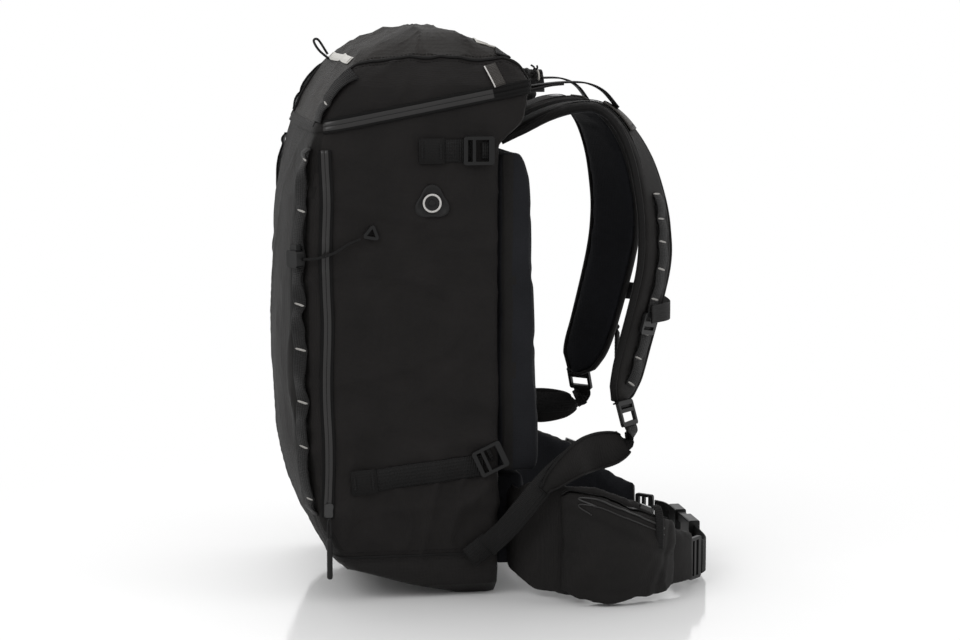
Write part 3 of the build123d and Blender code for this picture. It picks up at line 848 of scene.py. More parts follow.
class Skin:
    """A surface that bands, seams and stitches are laid on."""

    def __init__(self, bm: bmesh.types.BMesh) -> None:
        """Keeps a search tree of the mesh."""
        self.tree = BVHTree.FromBMesh(bm)

    def hit(self, origin: Sequence[float], way: Sequence[float]) -> tuple[Vector, Vector]:
        """Where a ray meets the surface, and the normal there.

        Args:
            origin: Where the ray starts.
            way: Its direction.

        Returns:
            The point and its normal, or the nearest ones where the ray misses.
        """
        point, normal, _, _ = self.tree.ray_cast(Vector(origin), Vector(way).normalized())
        if point is None:
            point, normal, _, _ = self.tree.find_nearest(Vector(origin))
        return point, normal

    def nearest(self, place: Vector) -> tuple[Vector, Vector]:
        """The closest point of the surface, and the normal there."""
        point, normal, _, _ = self.tree.find_nearest(place)
        return point, normal

    def frames(self, line: Sequence[Vector], lift: float = 0.0, shift: float = 0.0) -> list[Frame]:
        """Frames on the surface along a line near it.

        Args:
            line: Points near the surface.
            lift: Height above the surface.
            shift: Distance to one side of the line, on the surface.

        Returns:
            One frame a point, looking away from the surface.
        """
        placed = [self.nearest(p) for p in line]
        frames = []
        for i in range(len(placed)):
            along = (placed[min(i + 1, len(placed) - 1)][0] - placed[max(i - 1, 0)][0]).normalized()
            out = sum((placed[j][1] for j in range(max(0, i - 2), min(len(placed), i + 3))), Vector())
            out = (out - along * along.dot(out)).normalized()
            side = out.cross(along)
            point = placed[i][0] + side * shift
            if shift:
                point = self.nearest(point)[0]
            frames.append(Frame(point + out * lift, side, out))
        return frames


def cut_line(bm: bmesh.types.BMesh, point: Sequence[float], normal: Sequence[float]) -> list[Vector]:
    """Cuts a mesh's faces along a plane, without parting them.

    Args:
        bm: The mesh.
        point: A point of the plane.
        normal: Its normal.

    Returns:
        The cut's points, in order along its longest run.
    """
    cut = bmesh.ops.bisect_plane(
        bm, geom=bm.verts[:] + bm.edges[:] + bm.faces[:], dist=1e-6, plane_co=Vector(point), plane_no=Vector(normal)
    )["geom_cut"]
    edges = [e for e in cut if isinstance(e, bmesh.types.BMEdge)]
    return longest_run(edges)


def longest_run(edges: Iterable[bmesh.types.BMEdge]) -> list[Vector]:
    """The points of the longest chain that edges make, in order.

    Args:
        edges: The edges, in any order.

    Returns:
        The chain's points.
    """
    links: dict[bmesh.types.BMVert, list[bmesh.types.BMVert]] = {}
    for edge in edges:
        a, b = edge.verts
        links.setdefault(a, []).append(b)
        links.setdefault(b, []).append(a)
    best: list[bmesh.types.BMVert] = []
    seen: set[bmesh.types.BMVert] = set()
    starts = [v for v in links if len(links[v]) == 1] + list(links)
    for start in starts:
        if start in seen:
            continue
        chain = [start]
        seen.add(start)
        while True:
            onward = [v for v in links[chain[-1]] if v not in seen]
            if not onward:
                break
            chain.append(onward[0])
            seen.add(onward[0])
        if len(chain) > len(best):
            best = chain
    return [v.co.copy() for v in best]


def respaced(line: Sequence[Vector], step: float, rounds: int = 2) -> list[Vector]:
    """The same line with even spacing and its kinks eased.

    Args:
        line: The points.
        step: The new spacing.
        rounds: How often neighbours are averaged.

    Returns:
        The new points.
    """
    points, carry = [line[0]], 0.0
    for a, b in zip(line, line[1:]):
        length = (b - a).length
        walk = step - carry
        while walk <= length:
            points.append(a.lerp(b, walk / length))
            walk += step
        carry = (carry + length) % step
    points.append(line[-1])
    for _ in range(rounds):
        inner = [(points[i - 1] + points[i] * 2 + points[i + 1]) / 4 for i in range(1, len(points) - 1)]
        points = [points[0], *inner, points[-1]]
    return points


def mm(*values: float) -> Vector:
    """A point given in millimetres, in metres."""
    return Vector(values) * MM


def mm_line(points: Iterable[Sequence[float]], steps: int) -> list[Vector]:
    """A smooth line through points given in millimetres."""
    return smooth_line([mm(*point) for point in points], steps)


def shifted(frames: Sequence[Frame], side: float = 0.0, out: float = 0.0) -> list[Frame]:
    """Copies of frames, moved along their own side and out directions."""
    return [Frame(f.centre + f.side * side + f.out * out, f.side, f.out, f.width, f.thick) for f in frames]


def band(
    name: str, frames: Sequence[Frame], width: float, thick: float, material: bpy.types.Material
) -> bpy.types.Object:
    """A flat woven band along frames, with eased edges."""
    return new_object(name, sweep(frames, flat_profile(width, thick)), [material])


def bartack(
    frame: Frame,
    lift: float,
    length: float,
    material: bpy.types.Material,
    tilt: float = 0.0,
    width: float = 0.0024,
) -> bpy.types.Object:
    """A short dense row of thread across a band.

    Args:
        frame: The band's frame where it is sewn.
        lift: Its height above the frame.
        length: How far it runs across the band.
        material: Its thread.
        tilt: How far it turns on the band, in radians.
        width: Its own width.

    Returns:
        The new object.
    """
    along = frame.side.cross(frame.out)
    way = frame.side * math.cos(tilt) + along * math.sin(tilt)
    shape = (0.55, 0.95, 1.0, 1.0, 0.95, 0.55)
    middle = frame.centre + frame.out * lift
    spots = [middle + way * (length * (i / 5 - 0.5)) for i in range(6)]
    frames = [Frame(p, frame.out.cross(way), frame.out, k, k) for p, k in zip(spots, shape)]
    return new_object("tack", sweep(frames, flat_profile(width, 0.0009, 0.4)), [material])


def looped(frames: Sequence[Frame], tacks: Iterable[float], rise: float) -> list[Frame]:
    """Lifts an upright band off its base between the tacks that hold it.

    Args:
        frames: The band's frames.
        tacks: Heights at which it is sewn down.
        rise: Height of a loop.

    Returns:
        The lifted frames.
    """
    marks = sorted(tacks)
    lifted = []
    for f in frames:
        z = f.centre.z
        low = max((m for m in marks if m <= z), default=None)
        high = min((m for m in marks if m > z), default=None)
        lift = 0.0
        if low is not None and high is not None:
            share = (z - low) / (high - low)
            lift = rise * math.sin(math.pi * share) ** 0.7
        lifted.append(Frame(f.centre + f.out * lift, f.side, f.out, f.width, f.thick))
    return lifted


@dataclass
class Stuffing:
    """How a foam or wadded piece swells in its cover.

    Args:
        voxel: Grain of the mesh that is blown up.
        pressure: The push from inside.
        cap: The furthest that a point may travel.
        steps: Frames of simulation.
    """

    voxel: float = 0.0045
    pressure: float = 4.0
    cap: float = 0.005
    steps: int = 20

    def remesh(self, obj: bpy.types.Object) -> None:
        """Gives the piece an even mesh."""
        modifier = obj.modifiers.new("Even", "REMESH")
        modifier.mode = "VOXEL"
        modifier.voxel_size = self.voxel
        self._bake(obj)

    def swell(self, obj: bpy.types.Object) -> None:
        """Blows the piece up, holding each point within the cap."""
        self.remesh(obj)
        rest = [v.co.copy() for v in obj.data.vertices]
        cloth = obj.modifiers.new("Swell", "CLOTH")
        cloth.settings.use_pressure = True
        cloth.settings.uniform_pressure_force = self.pressure
        cloth.settings.effector_weights.gravity = 0.0
        cloth.settings.quality = 5
        cloth.settings.mass = 0.3
        cloth.point_cache.frame_start = 1
        cloth.point_cache.frame_end = self.steps
        for step in range(1, self.steps + 1):
            bpy.context.scene.frame_set(step)
        self._bake(obj)
        bpy.context.scene.frame_set(1)
        for vert, start in zip(obj.data.vertices, rest):
            move = vert.co - start
            if move.length > self.cap:
                vert.co = start + move.normalized() * self.cap
        with editing(obj) as bm:
            soften(bm, bm.verts, 2)

    def _bake(self, obj: bpy.types.Object) -> None:
        """Turns the piece's modifiers into its mesh."""
        bpy.context.view_layer.update()
        graph = bpy.context.evaluated_depsgraph_get()
        mesh = bpy.data.meshes.new_from_object(obj.evaluated_get(graph))
        obj.modifiers.clear()
        materials = list(obj.data.materials)
        obj.data = mesh
        obj.data.materials.clear()
        for material in materials:
            obj.data.materials.append(material)


def copy_of(node: str, name: str, shrink: float = SHRINK) -> bpy.types.Object:
    """A merged copy of a CAD node's mesh, drawn in by shrink.

    Args:
        node: The CAD node.
        name: The copy's name.
        shrink: How far its faces move inwards.

    Returns:
        The new object.
    """
    bm = bmesh.new()
    bm.from_mesh(FRAME["nodes"][node].data)
    bmesh.ops.remove_doubles(bm, verts=bm.verts, dist=1e-5)
    bmesh.ops.recalc_face_normals(bm, faces=bm.faces)
    displace(bm, lambda point, normal: -shrink)
    return new_object(name, bm, [])


def crease(obj: bpy.types.Object, depth: Callable[[Vector, Vector], float]) -> None:
    """Moves each point of a piece along its normal.

    Args:
        obj: The piece.
        depth: Gives the distance outwards for a point and its normal.
    """
    with editing(obj) as bm:
        displace(bm, depth)


def subdivide(obj: bpy.types.Object, levels: int = 1) -> None:
    """Adds a subdivision surface that renders as it shows."""
    modifier = obj.modifiers.new("Smooth", "SUBSURF")
    modifier.levels = levels
    modifier.render_levels = levels


def sort_faces(
    obj: bpy.types.Object,
    materials: Sequence[bpy.types.Material],
    pick: Callable[[Vector, Vector], int] = lambda centre, normal: 0,
) -> None:
    """Gives each face of a piece one of several materials.

    Args:
        obj: The piece.
        materials: Its materials.
        pick: Gives a material's index for a face's centre and normal.
    """
    obj.data.materials.clear()
    for material in materials:
        obj.data.materials.append(material)
    for face in obj.data.polygons:
        face.material_index = pick(face.center, face.normal)


# ---------------------------------------------------------------- the bag
@dataclass
class Bag:
    """The sewn shell, its lid, seams, zips and what is sewn flat on it."""

    palette: Palette
    hull: Hull
    wall: float = 3 * MM
    gap: float = 0.25 * MM
    base_seam_z: float = 50 * MM
    piping_x: float = 120 * MM
    daisy_x: float = 129 * MM
    daisy_width: float = 19 * MM
    daisy_tacks: tuple[float, ...] = (100, 113, 170, 219, 274, 322, 375, 422, 475, 486)
    pale_tacks: tuple[float, ...] = (113, 170, 219, 274, 322, 422, 475)
    zip_y: float = -163 * MM
    garage_y: float = 16 * MM
    hinge_z: float = 0.506
    cord_loop: tuple[tuple[float, float, float], ...] = (
        (-64, -134.8, 574),
        (-66, -146, 584),
        (-72, -151, 594),
        (-80, -145, 595),
        (-84, -134.2, 579),
    )
    skin: Skin = field(init=False)
    seam: list[Vector] = field(init=False)

    def build(self) -> None:
        """Makes every piece of the bag."""
        bm = self.hull.build()
        wrinkles = Wrinkles(self.hull)
        displace(bm, wrinkles.depth)
        bm.normal_update()
        self.skin = Skin(bm)
        self._shells(bm)
        bm.free()
        self._zips()
        self._daisies()
        self._badge()
        self._lid_trim()

    def _shells(self, bm: bmesh.types.BMesh) -> None:
        """Parts the form at the lid seam into the bag and its lid."""
        at = Vector((0.0, 0.0, self.hull.seam_z(0.0)))
        up = self.hull.seam_normal()
        probe = bm.copy()
        self.seam = cut_line(probe, at, up)
        probe.free()
        lid = bm.copy()
        geom = lid.verts[:] + lid.edges[:] + lid.faces[:]
        bmesh.ops.bisect_plane(lid, geom=geom, dist=1e-7, plane_co=at + up * self.gap, plane_no=up, clear_inner=True)
        right = cut_line(lid, (self.piping_x, 0, 0), (1, 0, 0))
        left = cut_line(lid, (-self.piping_x, 0, 0), (1, 0, 0))
        body = bm.copy()
        geom = body.verts[:] + body.edges[:] + body.faces[:]
        bmesh.ops.bisect_plane(body, geom=geom, dist=1e-7, plane_co=at - up * self.gap, plane_no=up, clear_outer=True)
        base = cut_line(body, (0, 0, self.base_seam_z), (0, 0, 1))
        self._finish_lid(lid, right, left)
        self._finish_body(body, base)

    def _walled(self, obj: bpy.types.Object) -> None:
        """Gives a sewn panel its thickness, lined inside."""
        wall = obj.modifiers.new("Wall", "SOLIDIFY")
        wall.thickness = self.wall
        wall.offset = -1.0
        wall.material_offset = 4
        wall.material_offset_rim = 4

    def _finish_lid(self, lid: bmesh.types.BMesh, right: list[Vector], left: list[Vector]) -> None:
        """Colours the lid's panels and pipes the seams between them.

        Args:
            lid: The part of the form above the seam, which is freed.
            right: The right piping's line.
            left: The left piping's line.
        """
        p = self.palette
        obj = new_object("lid_cover", lid, [])
        kinds = [p["lid_nylon"], p["body_nylon"], p["front_nylon"], p["body_nylon"], *[p["lining"]] * 4]
        sort_faces(obj, kinds, lambda c, n: 1 if abs(c.x) > self.piping_x else 0)
        self._walled(obj)
        settle(obj, "lid", "pack_fabric", "lid_shell")
        cords = []
        for line in (right, left):
            route = respaced(line, STEP)
            frames = self.skin.frames(route, 0.0006)
            cords.append(new_object("pipe", sweep(frames, round_profile(0.0021, 8, 0.8)), [p["binding"]]))
            for side in (-0.0055, 0.0055):
                cords.append(self._stitching(route, side))
        settle(join("lid_piping", cords), "lid", "pack_fabric")

    def _stitching(self, route: Sequence[Vector], shift: float) -> bpy.types.Object:
        """A line of small stitches beside a seam.

        Args:
            route: The seam's line.
            shift: Distance to its side.

        Returns:
            The stitches as one object.
        """
        line = respaced(route, STEP)
        frames = self.skin.frames(line, 0.0001, shift)
        bm = bmesh.new()
        for a, b in zip(frames, frames[1:]):
            way = b.centre - a.centre
            spots = [a.centre + way * k for k in (0.12, 0.4, 0.75)]
            ring = [(-0.0003, 0.0), (0.0, 0.0004), (0.0003, 0.0), (0.0, -0.0002)]
            rings = [[s + a.side * u + a.out * v for u, v in ring] for s in spots]
            one = ring_surface(rings)
            mesh = bpy.data.meshes.new("stitch")
            one.to_mesh(mesh)
            one.free()
            bm.from_mesh(mesh)
            bpy.data.meshes.remove(mesh)
        return new_object("stitches", bm, [self.palette["webbing"]])

    def _finish_body(self, body: bmesh.types.BMesh, base: list[Vector]) -> None:
        """Colours the bag's panels and seams its base.

        Args:
            body: The part of the form below the lid, which is freed.
            base: The base seam's line.
        """
        p = self.palette
        obj = new_object("bag_body", body, [])
        kinds = [p["body_nylon"], p["front_nylon"], p["base_nylon"], p["spacer_mesh"], *[p["lining"]] * 4]

        def panel(centre: Vector, normal: Vector) -> int:
            """Which panel a face belongs to."""
            if centre.z < self.base_seam_z:
                return 2
            if centre.y < self.hull.front_y(centre.z) + 0.011:
                return 1
            return 0

        sort_faces(obj, kinds, panel)
        self._walled(obj)
        panels = ("front_panel", "side_panel_right", "side_panel_left", "base_panel", "back_panel")
        settle(obj, "pack", "pack_fabric", *panels)
        route = respaced(base, STEP)
        frames = self.skin.frames(route, 0.0003)
        pipe = new_object("pipe", sweep(frames, round_profile(0.0016, 8, 0.7)), [p["binding"]])
        pieces = [pipe, self._stitching(route, 0.005), self._stitching(route, -0.005)]
        settle(join("base_seam", pieces), "pack", "pack_fabric")

    def _zip_half(self, frames: Sequence[Frame], way: int, outer: float, rim: float) -> list[bpy.types.Object]:
        """One tape of a coated zip.

        Args:
            frames: The zip's middle line, on the skin.
            way: 1 or -1, the side of the line that it lies on.
            outer: Where its film ends.
            rim: Where its woven edge ends.

        Returns:
            Its film and its woven edge.
        """
        inner = 0.0001
        film = flat_profile(outer - inner, 0.0012, 0.22, 0.0003)
        edge = flat_profile(rim - outer + 0.001, 0.0014, 0.4, 0.0)
        mid = way * (inner + outer) / 2
        far = way * (outer + rim) / 2
        return [
            new_object("film", sweep(shifted(frames, mid), film), [self.palette["zip_film"]]),
            new_object("edge", sweep(shifted(frames, far), edge), [self.palette["zip_edge"]]),
        ]

    def _zips(self) -> None:
        """The lid's zip, its flap at the hinge and the long side zip."""
        start = self.hull.front_y(self.hull.front_seam_z) + 0.007
        kept = [p for p in self.seam if p.y > start]
        gaps = [(kept[i] - kept[i - 1]).length for i in range(len(kept))]
        first = gaps.index(max(gaps))
        run = kept[first:] + kept[:first]
        frames = self.skin.frames(respaced(run, STEP), 0.0002)
        up = 1 if frames[len(frames) // 4].side.z > 0 else -1
        for name, side, body in (("lid_zip_upper", up, "lid"), ("lid_zip_lower", -up, "pack")):
            tape = join(name, self._zip_half(frames, side, 0.0048, 0.0072))
            edge = [m.name for m in tape.data.materials].index("zip_edge")
            for face in tape.data.polygons:
                if face.center.y > self.garage_y:
                    face.material_index = edge
            settle(tape, body, "zip_coating", f"{name}_tape")
        fold = sorted((p for p in self.seam if p.y < start + 0.004), key=lambda p: p.x)
        frames = self.skin.frames(respaced(fold, STEP), 0.0003)
        flap = band("lid_fold", frames, 0.011, 0.0010, self.palette["front_nylon"])
        axis_z = self.hinge_z
        axis_y = self.hull.front_y(axis_z) - 0.0025
        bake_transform(flap)
        low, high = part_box("main_zip_tape")
        spots = [(0.3, self.zip_y + 0.0009 * math.sin(z * 47.0), z) for z in spaced(low.z, high.z, 90)]
        line = [self.skin.hit(spot, (-1, 0, 0))[0] for spot in spots]
        frames = self.skin.frames(respaced(line, STEP, 3), 0.0002)
        halves = [tape for way in (1, -1) for tape in self._zip_half(frames, way, 0.0040, 0.0068)]
        stops = [bartack(frames[i], 0.0, 0.012, self.palette["webbing"], 0.0, 0.004) for i in (1, -2)]
        settle(join("main_zip", halves + stops), "pack", "zip_coating", "main_zip_tape")

    def _daisies(self) -> None:
        """Webbing loops down both front corners, with their pale tacks."""
        p = self.palette
        tacks = [t * MM for t in self.daisy_tacks]
        pieces, marks = [], []
        for side in (1, -1):
            frames = self._corner(side, spaced(96 * MM, 488 * MM, 130), 0.0003)
            lifted = looped(frames, tacks, 0.0040 if side > 0 else 0.0026)
            pieces.append(band("webbing", lifted, self.daisy_width, 0.0016, p["webbing"]))
            for tack in self.pale_tacks:
                spot = min(lifted, key=lambda f: abs(f.centre.z - tack * MM))
                marks.append(bartack(spot, TACK_LIFT, 0.016, p["bartack"], 0.12 * side, 0.0026))
        settle(join("front_daisies", pieces + marks), "pack", "webbing", "daisy_chains")
        tops = []
        for side in (1, -1):
            frames = self._corner(side, [z * MM for z in range(514, 566, 3)], 0.0004)
            lifted = looped(frames, [0.516, 0.533, 0.563], 0.0024)
            tops.append(band("webbing", lifted, self.daisy_width, 0.0016, p["webbing"]))
            spot = min(lifted, key=lambda f: abs(f.centre.z - 0.533))
            tops.append(bartack(spot, TACK_LIFT, 0.013, p["bartack"], 0.3 * side, 0.0026))
        settle(join("lid_daisies", tops), "lid", "webbing")

    def _corner(self, side: int, heights: Sequence[float], lift: float) -> list[Frame]:
        """Frames down a front corner, on the daisy chain's line.

        Args:
            side: 1 on the right and -1 on the left.
            heights: Where the frames stand.
            lift: Height above the skin.

        Returns:
            The frames.
        """
        line = [self.skin.hit((side * self.daisy_x, -0.4, z), (0, 1, 0))[0] for z in heights]
        return self.skin.frames(respaced(line, FINE_STEP, 3), lift)

    def _badge(self) -> None:
        """A plain moulded badge with a raised rim and a plain ring."""
        low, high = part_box("side_badge")
        centre = (low + high) / 2
        point, _ = self.skin.hit((0.3, centre.y, centre.z), (-1, 0, 0))
        r = (high.z - low.z) * 0.60
        middle = Vector((point.x, centre.y, centre.z))

        def rounded(size: float, count: int = 36) -> list[tuple[float, float]]:
            """A triangle with generous corners."""
            spots = []
            for turn in turns(count):
                reach = size * (1.0 + 0.16 * math.cos(3 * (turn - math.pi / 2)))
                spots.append((reach * math.cos(turn), reach * math.sin(turn)))
            return spots

        def plate(name: str, sizes: Sequence[tuple[float, float]], material: str) -> bpy.types.Object:
            """Stacks rounded outlines outwards."""
            rings = [[middle + Vector((x, u, v)) for u, v in rounded(size)] for size, x in sizes]
            return new_object(name, ring_surface(rings), [self.palette[material]])

        rim = [(r, -0.001), (r, 0.0010), (r * 0.97, 0.0020), (r * 0.86, 0.0022), (r * 0.82, 0.0012), (r * 0.3, 0.0011)]
        body = plate("body", rim, "rubber")
        circle = [middle + Vector((0.0019, math.cos(t) * r * 0.52, math.sin(t) * r * 0.52)) for t in turns(40)]
        ring = tube("ring", circle, 0.0011, self.palette["pale_mark"], True)
        dot = plate("dot", [(r * 0.20, 0.0008), (r * 0.20, 0.0020), (r * 0.14, 0.0024)], "rubber")
        settle(join("badge", [body, ring, dot]), "pack", "pull_rubber", "side_badge")

    def _lid_trim(self) -> None:
        """Reflective bands, ribbed tape and cords on the lid."""
        p = self.palette
        low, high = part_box("lid_bands")
        pieces = []
        for centre_y, width in ((-0.129, 0.0098), (0.0125, 0.0145)):
            line = [self.skin.hit((x, centre_y, 0.8), (0, 0, -1))[0] for x in spaced(low.x, high.x, 60)]
            frames = self.skin.frames(respaced(line, STEP), 0.0004)
            pieces.append(band("reflective", frames, width, 0.0012, p["reflective"]))
            for index in (2, len(frames) - 3):
                pieces.append(bartack(frames[index], 0.0009, width * 0.9, p["bartack"]))
        settle(join("lid_bands_cloth", pieces), "lid", "reflective_band", "lid_bands")
        low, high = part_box("lid_cord_loop")
        loop = tube("front_cord_loop", mm_line(self.cord_loop, 8), 0.0014, p["elastic"], sides=10)
        settle(loop, "lid", "elastic_cord", "lid_cord_loop")
        spots = [self.skin.hit((0.066 + 0.052 * i / 24, 0.030, 0.8), (0, 0, -1))[0] for i in range(25)]
        tape = band("side_tape", self.skin.frames(respaced(spots, STEP), 0.0004), 0.017, 0.0018, p["webbing"])
        settle(tape, "lid", "webbing")


# ---------------------------------------------------------------- harness
@dataclass
class ShoulderStraps:
    """Padded straps with their binding, loops, lifters and webbing."""

    palette: Palette
    stuffing: Stuffing
    thick: float = 11 * MM
    route: tuple[tuple[float, float, float, float, float], ...] = (
        (46, 36, 489, 0, 60),
        (50, 62, 502, 0, 62),
        (56, 92, 517, 4, 64),
        (62, 122, 525, 8, 66),
        (69, 148, 523, 14, 66),
        (77, 171, 503, 22, 66),
        (84, 188, 470, 30, 66),
        (90, 198, 432, 36, 66),
        (95, 203, 392, 40, 66),
        (101, 200, 345, 43, 65),
        (101, 179.5, 262, 45, 60),
        (107, 168, 226, 45, 52),
        (111, 158, 200, 45, 30),
    )
    daisy_span: tuple[float, float] = (0.222, 0.432)
    daisy_tacks: tuple[float, ...] = (226, 252, 282, 315, 347, 378, 404, 430)
    lifter: tuple[tuple[float, float, float], ...] = (
        (60, 70, 546.4),
        (61, 90, 549),
        (62.5, 110, 550.5),
        (64.5, 132, 549.5),
        (68, 150, 541),
        (73, 165.5, 522.5),
    )
    lifter_wing: tuple[tuple[float, float, float], ...] = (
        (61, 54, 541),
        (61.5, 72, 543.5),
        (62, 92, 547.4),
        (63, 112, 548.9),
    )
    lower_loop: tuple[tuple[float, float, float], ...] = (
        (120.5, 167.5, 183.5),
        (123, 170.3, 179.6),
        (124.6, 171.3, 175),
        (125.0, 169.6, 171.4),
        (128, 164, 166.8),
    )
    upper_loop: tuple[tuple[float, float, float], ...] = (
        (113.0, 160.2, 203),
        (116.4, 163.8, 205.2),
        (117.6, 165.4, 201.6),
        (116.6, 163.6, 197.5),
    )
    lower: tuple[tuple[tuple[float, float, float], tuple[float, float, float]], ...] = (
        ((124.3, 171.0, 172.6), (-0.7, 0.7, 0)),
        ((128, 164, 166), (-0.6, 0.5, 0.5)),
        ((135, 149, 163), (-0.3, 0.1, 0.9)),
        ((147, 124, 161), (0, -0.1, 1)),
        ((168, 100, 157), (0, -0.3, 1)),
        ((180, 70, 137), (0, -0.5, 1)),
        ((178, 45, 108), (0, -0.7, 0.7)),
        ((164, 26, 80), (0, -0.7, 0.7)),
        ((148.7, 6, 56), (0, -0.7, 0.7)),
    )

    def frames(self, steps: int = 8) -> list[Frame]:
        """Frames down the middle of the right strap, with its half width."""
        line = smooth_line([mm(*row[:3]) for row in self.route], steps)
        shape = smooth_line([(row[3], row[4], 0.0) for row in self.route], steps)

        def side(i: int) -> Vector:
            """The way the strap's width runs."""
            turn = math.radians(shape[i].x)
            return Vector((-math.cos(turn), math.sin(turn), 0.0))

        frames = frames_along(line, side)
        last = len(frames) - 1
        for i, f in enumerate(frames):
            left = (last - i) / last
            nose = min(1.0, math.sqrt(max(0.0, left) / 0.06 + 0.12)) if left < 0.053 else 1.0
            f.width = shape[i].y * MM / 2 * nose
            f.thick = self.thick / 2 * min(1.0, 0.62 + left * 6)
        return frames

    def build(self) -> None:
        """Makes every piece of the straps."""
        self._pads()
        self._daisies()
        self._lifters()
        self._lower_webbing()

    def _pads(self) -> None:
        """Both padded straps and the binding round them."""
        p = self.palette
        frames = self.frames()
        lens = [(-1, 0), (-0.97, -0.45), (-0.86, -0.8), (-0.6, -0.97)]
        lens += [(0, -1.02), (0.6, -0.97), (0.86, -0.8), (0.97, -0.45)]
        lens += [(-u, -v) for u, v in lens]
        pad = new_object("strap_pad_right", sweep(frames, lens), [p["strap_nylon"]])
        Stuffing(0.0042, 3.0, 0.0012).swell(pad)
        centres = [f.centre for f in frames]

        def face_side(centre: Vector, normal: Vector) -> int:
            """Nylon outside, mesh against the wearer."""
            near = min(range(0, len(frames), 2), key=lambda i: (centres[i] - centre).length_squared)
            return 1 if normal.dot(frames[near].out) < -0.35 else 0

        sort_faces(pad, [p["strap_nylon"], p["spacer_mesh"]], face_side)
        left = mirrored(pad, "strap_pad_left")
        for obj, side in ((pad, "right"), (left, "left")):
            subdivide(obj)
            settle(obj, "pack", "strap_fabric", f"shoulder_strap_{side}")
        trims = []
        for way in (-1, 1):
            edge = [Frame(f.centre + f.side * way * (f.width - 0.0012), f.side, f.out) for f in frames[1:-1]]
            trims.append(new_object("edge", sweep(edge, round_profile(0.0029, 10, 1.45)), [p["binding"]]))
            inner = [
                Frame(f.centre + f.side * way * (f.width - 0.0125) + f.out * (f.thick + 0.0002), f.side, f.out)
                for f in frames[3:-5]
            ]
            trims.append(new_object("seam", sweep(inner, round_profile(0.0008, 6, 0.7)), [p["webbing"]]))
        settle_pair(join("strap_binding_right", trims), "strap_binding", "pack", "strap_fabric")

    def _daisies(self) -> None:
        """Webbing loops down the outside of both straps."""
        p = self.palette
        low, high = self.daisy_span
        frames = [f for f in self.frames(12) if low < f.centre.z < high and f.centre.y > 0.15]
        base = [Frame(f.centre + f.out * (f.thick + 0.0012), f.side, f.out) for f in frames]
        lifted = looped(base, [t * MM for t in self.daisy_tacks], 0.0030)
        pieces = [band("webbing", lifted, 0.020, 0.0017, p["webbing"])]
        for tack in self.daisy_tacks:
            spot = min(lifted, key=lambda f: abs(f.centre.z - tack * MM))
            pieces.append(bartack(spot, TACK_LIFT, 0.017, p["bartack"], 0.1))
        settle_pair(join("strap_loops_right", pieces), "strap_loops", "pack", "webbing", "strap_daisies")

    def _lifters(self) -> None:
        """Load lifters: webbing, the cloth wing that it is sewn in and its tab on the strap."""
        p = self.palette
        frames = frames_along(mm_line(self.lifter, 8), lambda i: Vector((-1, 0, 0)))
        webbing = band("webbing", frames, 0.020, 0.0018, p["webbing"])
        wing_line = mm_line(self.lifter_wing, 7)[:-2]
        wing_frames = frames_along(wing_line, lambda i: Vector((-1, 0, 0)))
        for i, f in enumerate(wing_frames):
            share = i / (len(wing_frames) - 1)
            f.width = 1.0 - 0.42 * share
        wing = new_object("wing", sweep(wing_frames, flat_profile(0.040, 0.0022, 0.45)), [p["strap_nylon"]])
        under = [f for f in self.frames() if f.centre.y > 0.146 and f.centre.z > 0.495]
        tab_frames = [Frame(f.centre + f.out * (f.thick + 0.0012), f.side, f.out) for f in under]
        tab = band("tab", tab_frames, 0.030, 0.0022, p["grey_tab"])
        ends = [bartack(tab_frames[i], 0.0018, 0.022, p["webbing"], 0.0, 0.003) for i in (1, -2)]
        right = join("lifter_right", [webbing, wing, tab, *ends])
        settle_pair(right, "lifter", "pack", "webbing", "load_lifters")

    def _lower_webbing(self) -> None:
        """Adjusting webbing from the ladder locks down to the base."""
        p = self.palette
        line = mm_line((row[0] for row in self.lower), 8)
        sides = smooth_line([row[1] for row in self.lower], 8)
        frames = frames_along(line, lambda i: sides[i])
        webbing = band("webbing", frames, 0.025, 0.0018, p["webbing"])
        loops = []
        for points, width in ((self.lower_loop, 0.023), (self.upper_loop, 0.024)):
            loop_frames = frames_along(mm_line(points, 6), lambda i: Vector((-0.7, 0.7, 0)))
            loops.append(band("loop", loop_frames, width, 0.0018, p["webbing"]))
        leaf = [Frame(f.centre - f.out * 0.0016 - f.side * 0.004, f.side, f.out) for f in frames[10:44]]
        for i, f in enumerate(leaf):
            share = i / (len(leaf) - 1)
            f.width = 0.30 + 0.70 * math.sin(math.pi * min(1.0, 0.08 + share * 0.95)) ** 0.7
        wing = new_object("leaf", sweep(leaf, flat_profile(0.042, 0.0020, 0.45)), [p["strap_nylon"]])
        hems = []
        for way in (-1, 1):
            hem = [Frame(f.centre + f.side * 0.0195 * f.width * way, f.side, f.out) for f in leaf]
            hems.append(new_object("hem", sweep(hem, round_profile(0.0015, 8)), [p["binding"]]))
        right = join("lower_strap_right", [webbing, *loops, wing, *hems])
        settle_pair(right, "lower_strap", "pack", "webbing", "lower_webbings")


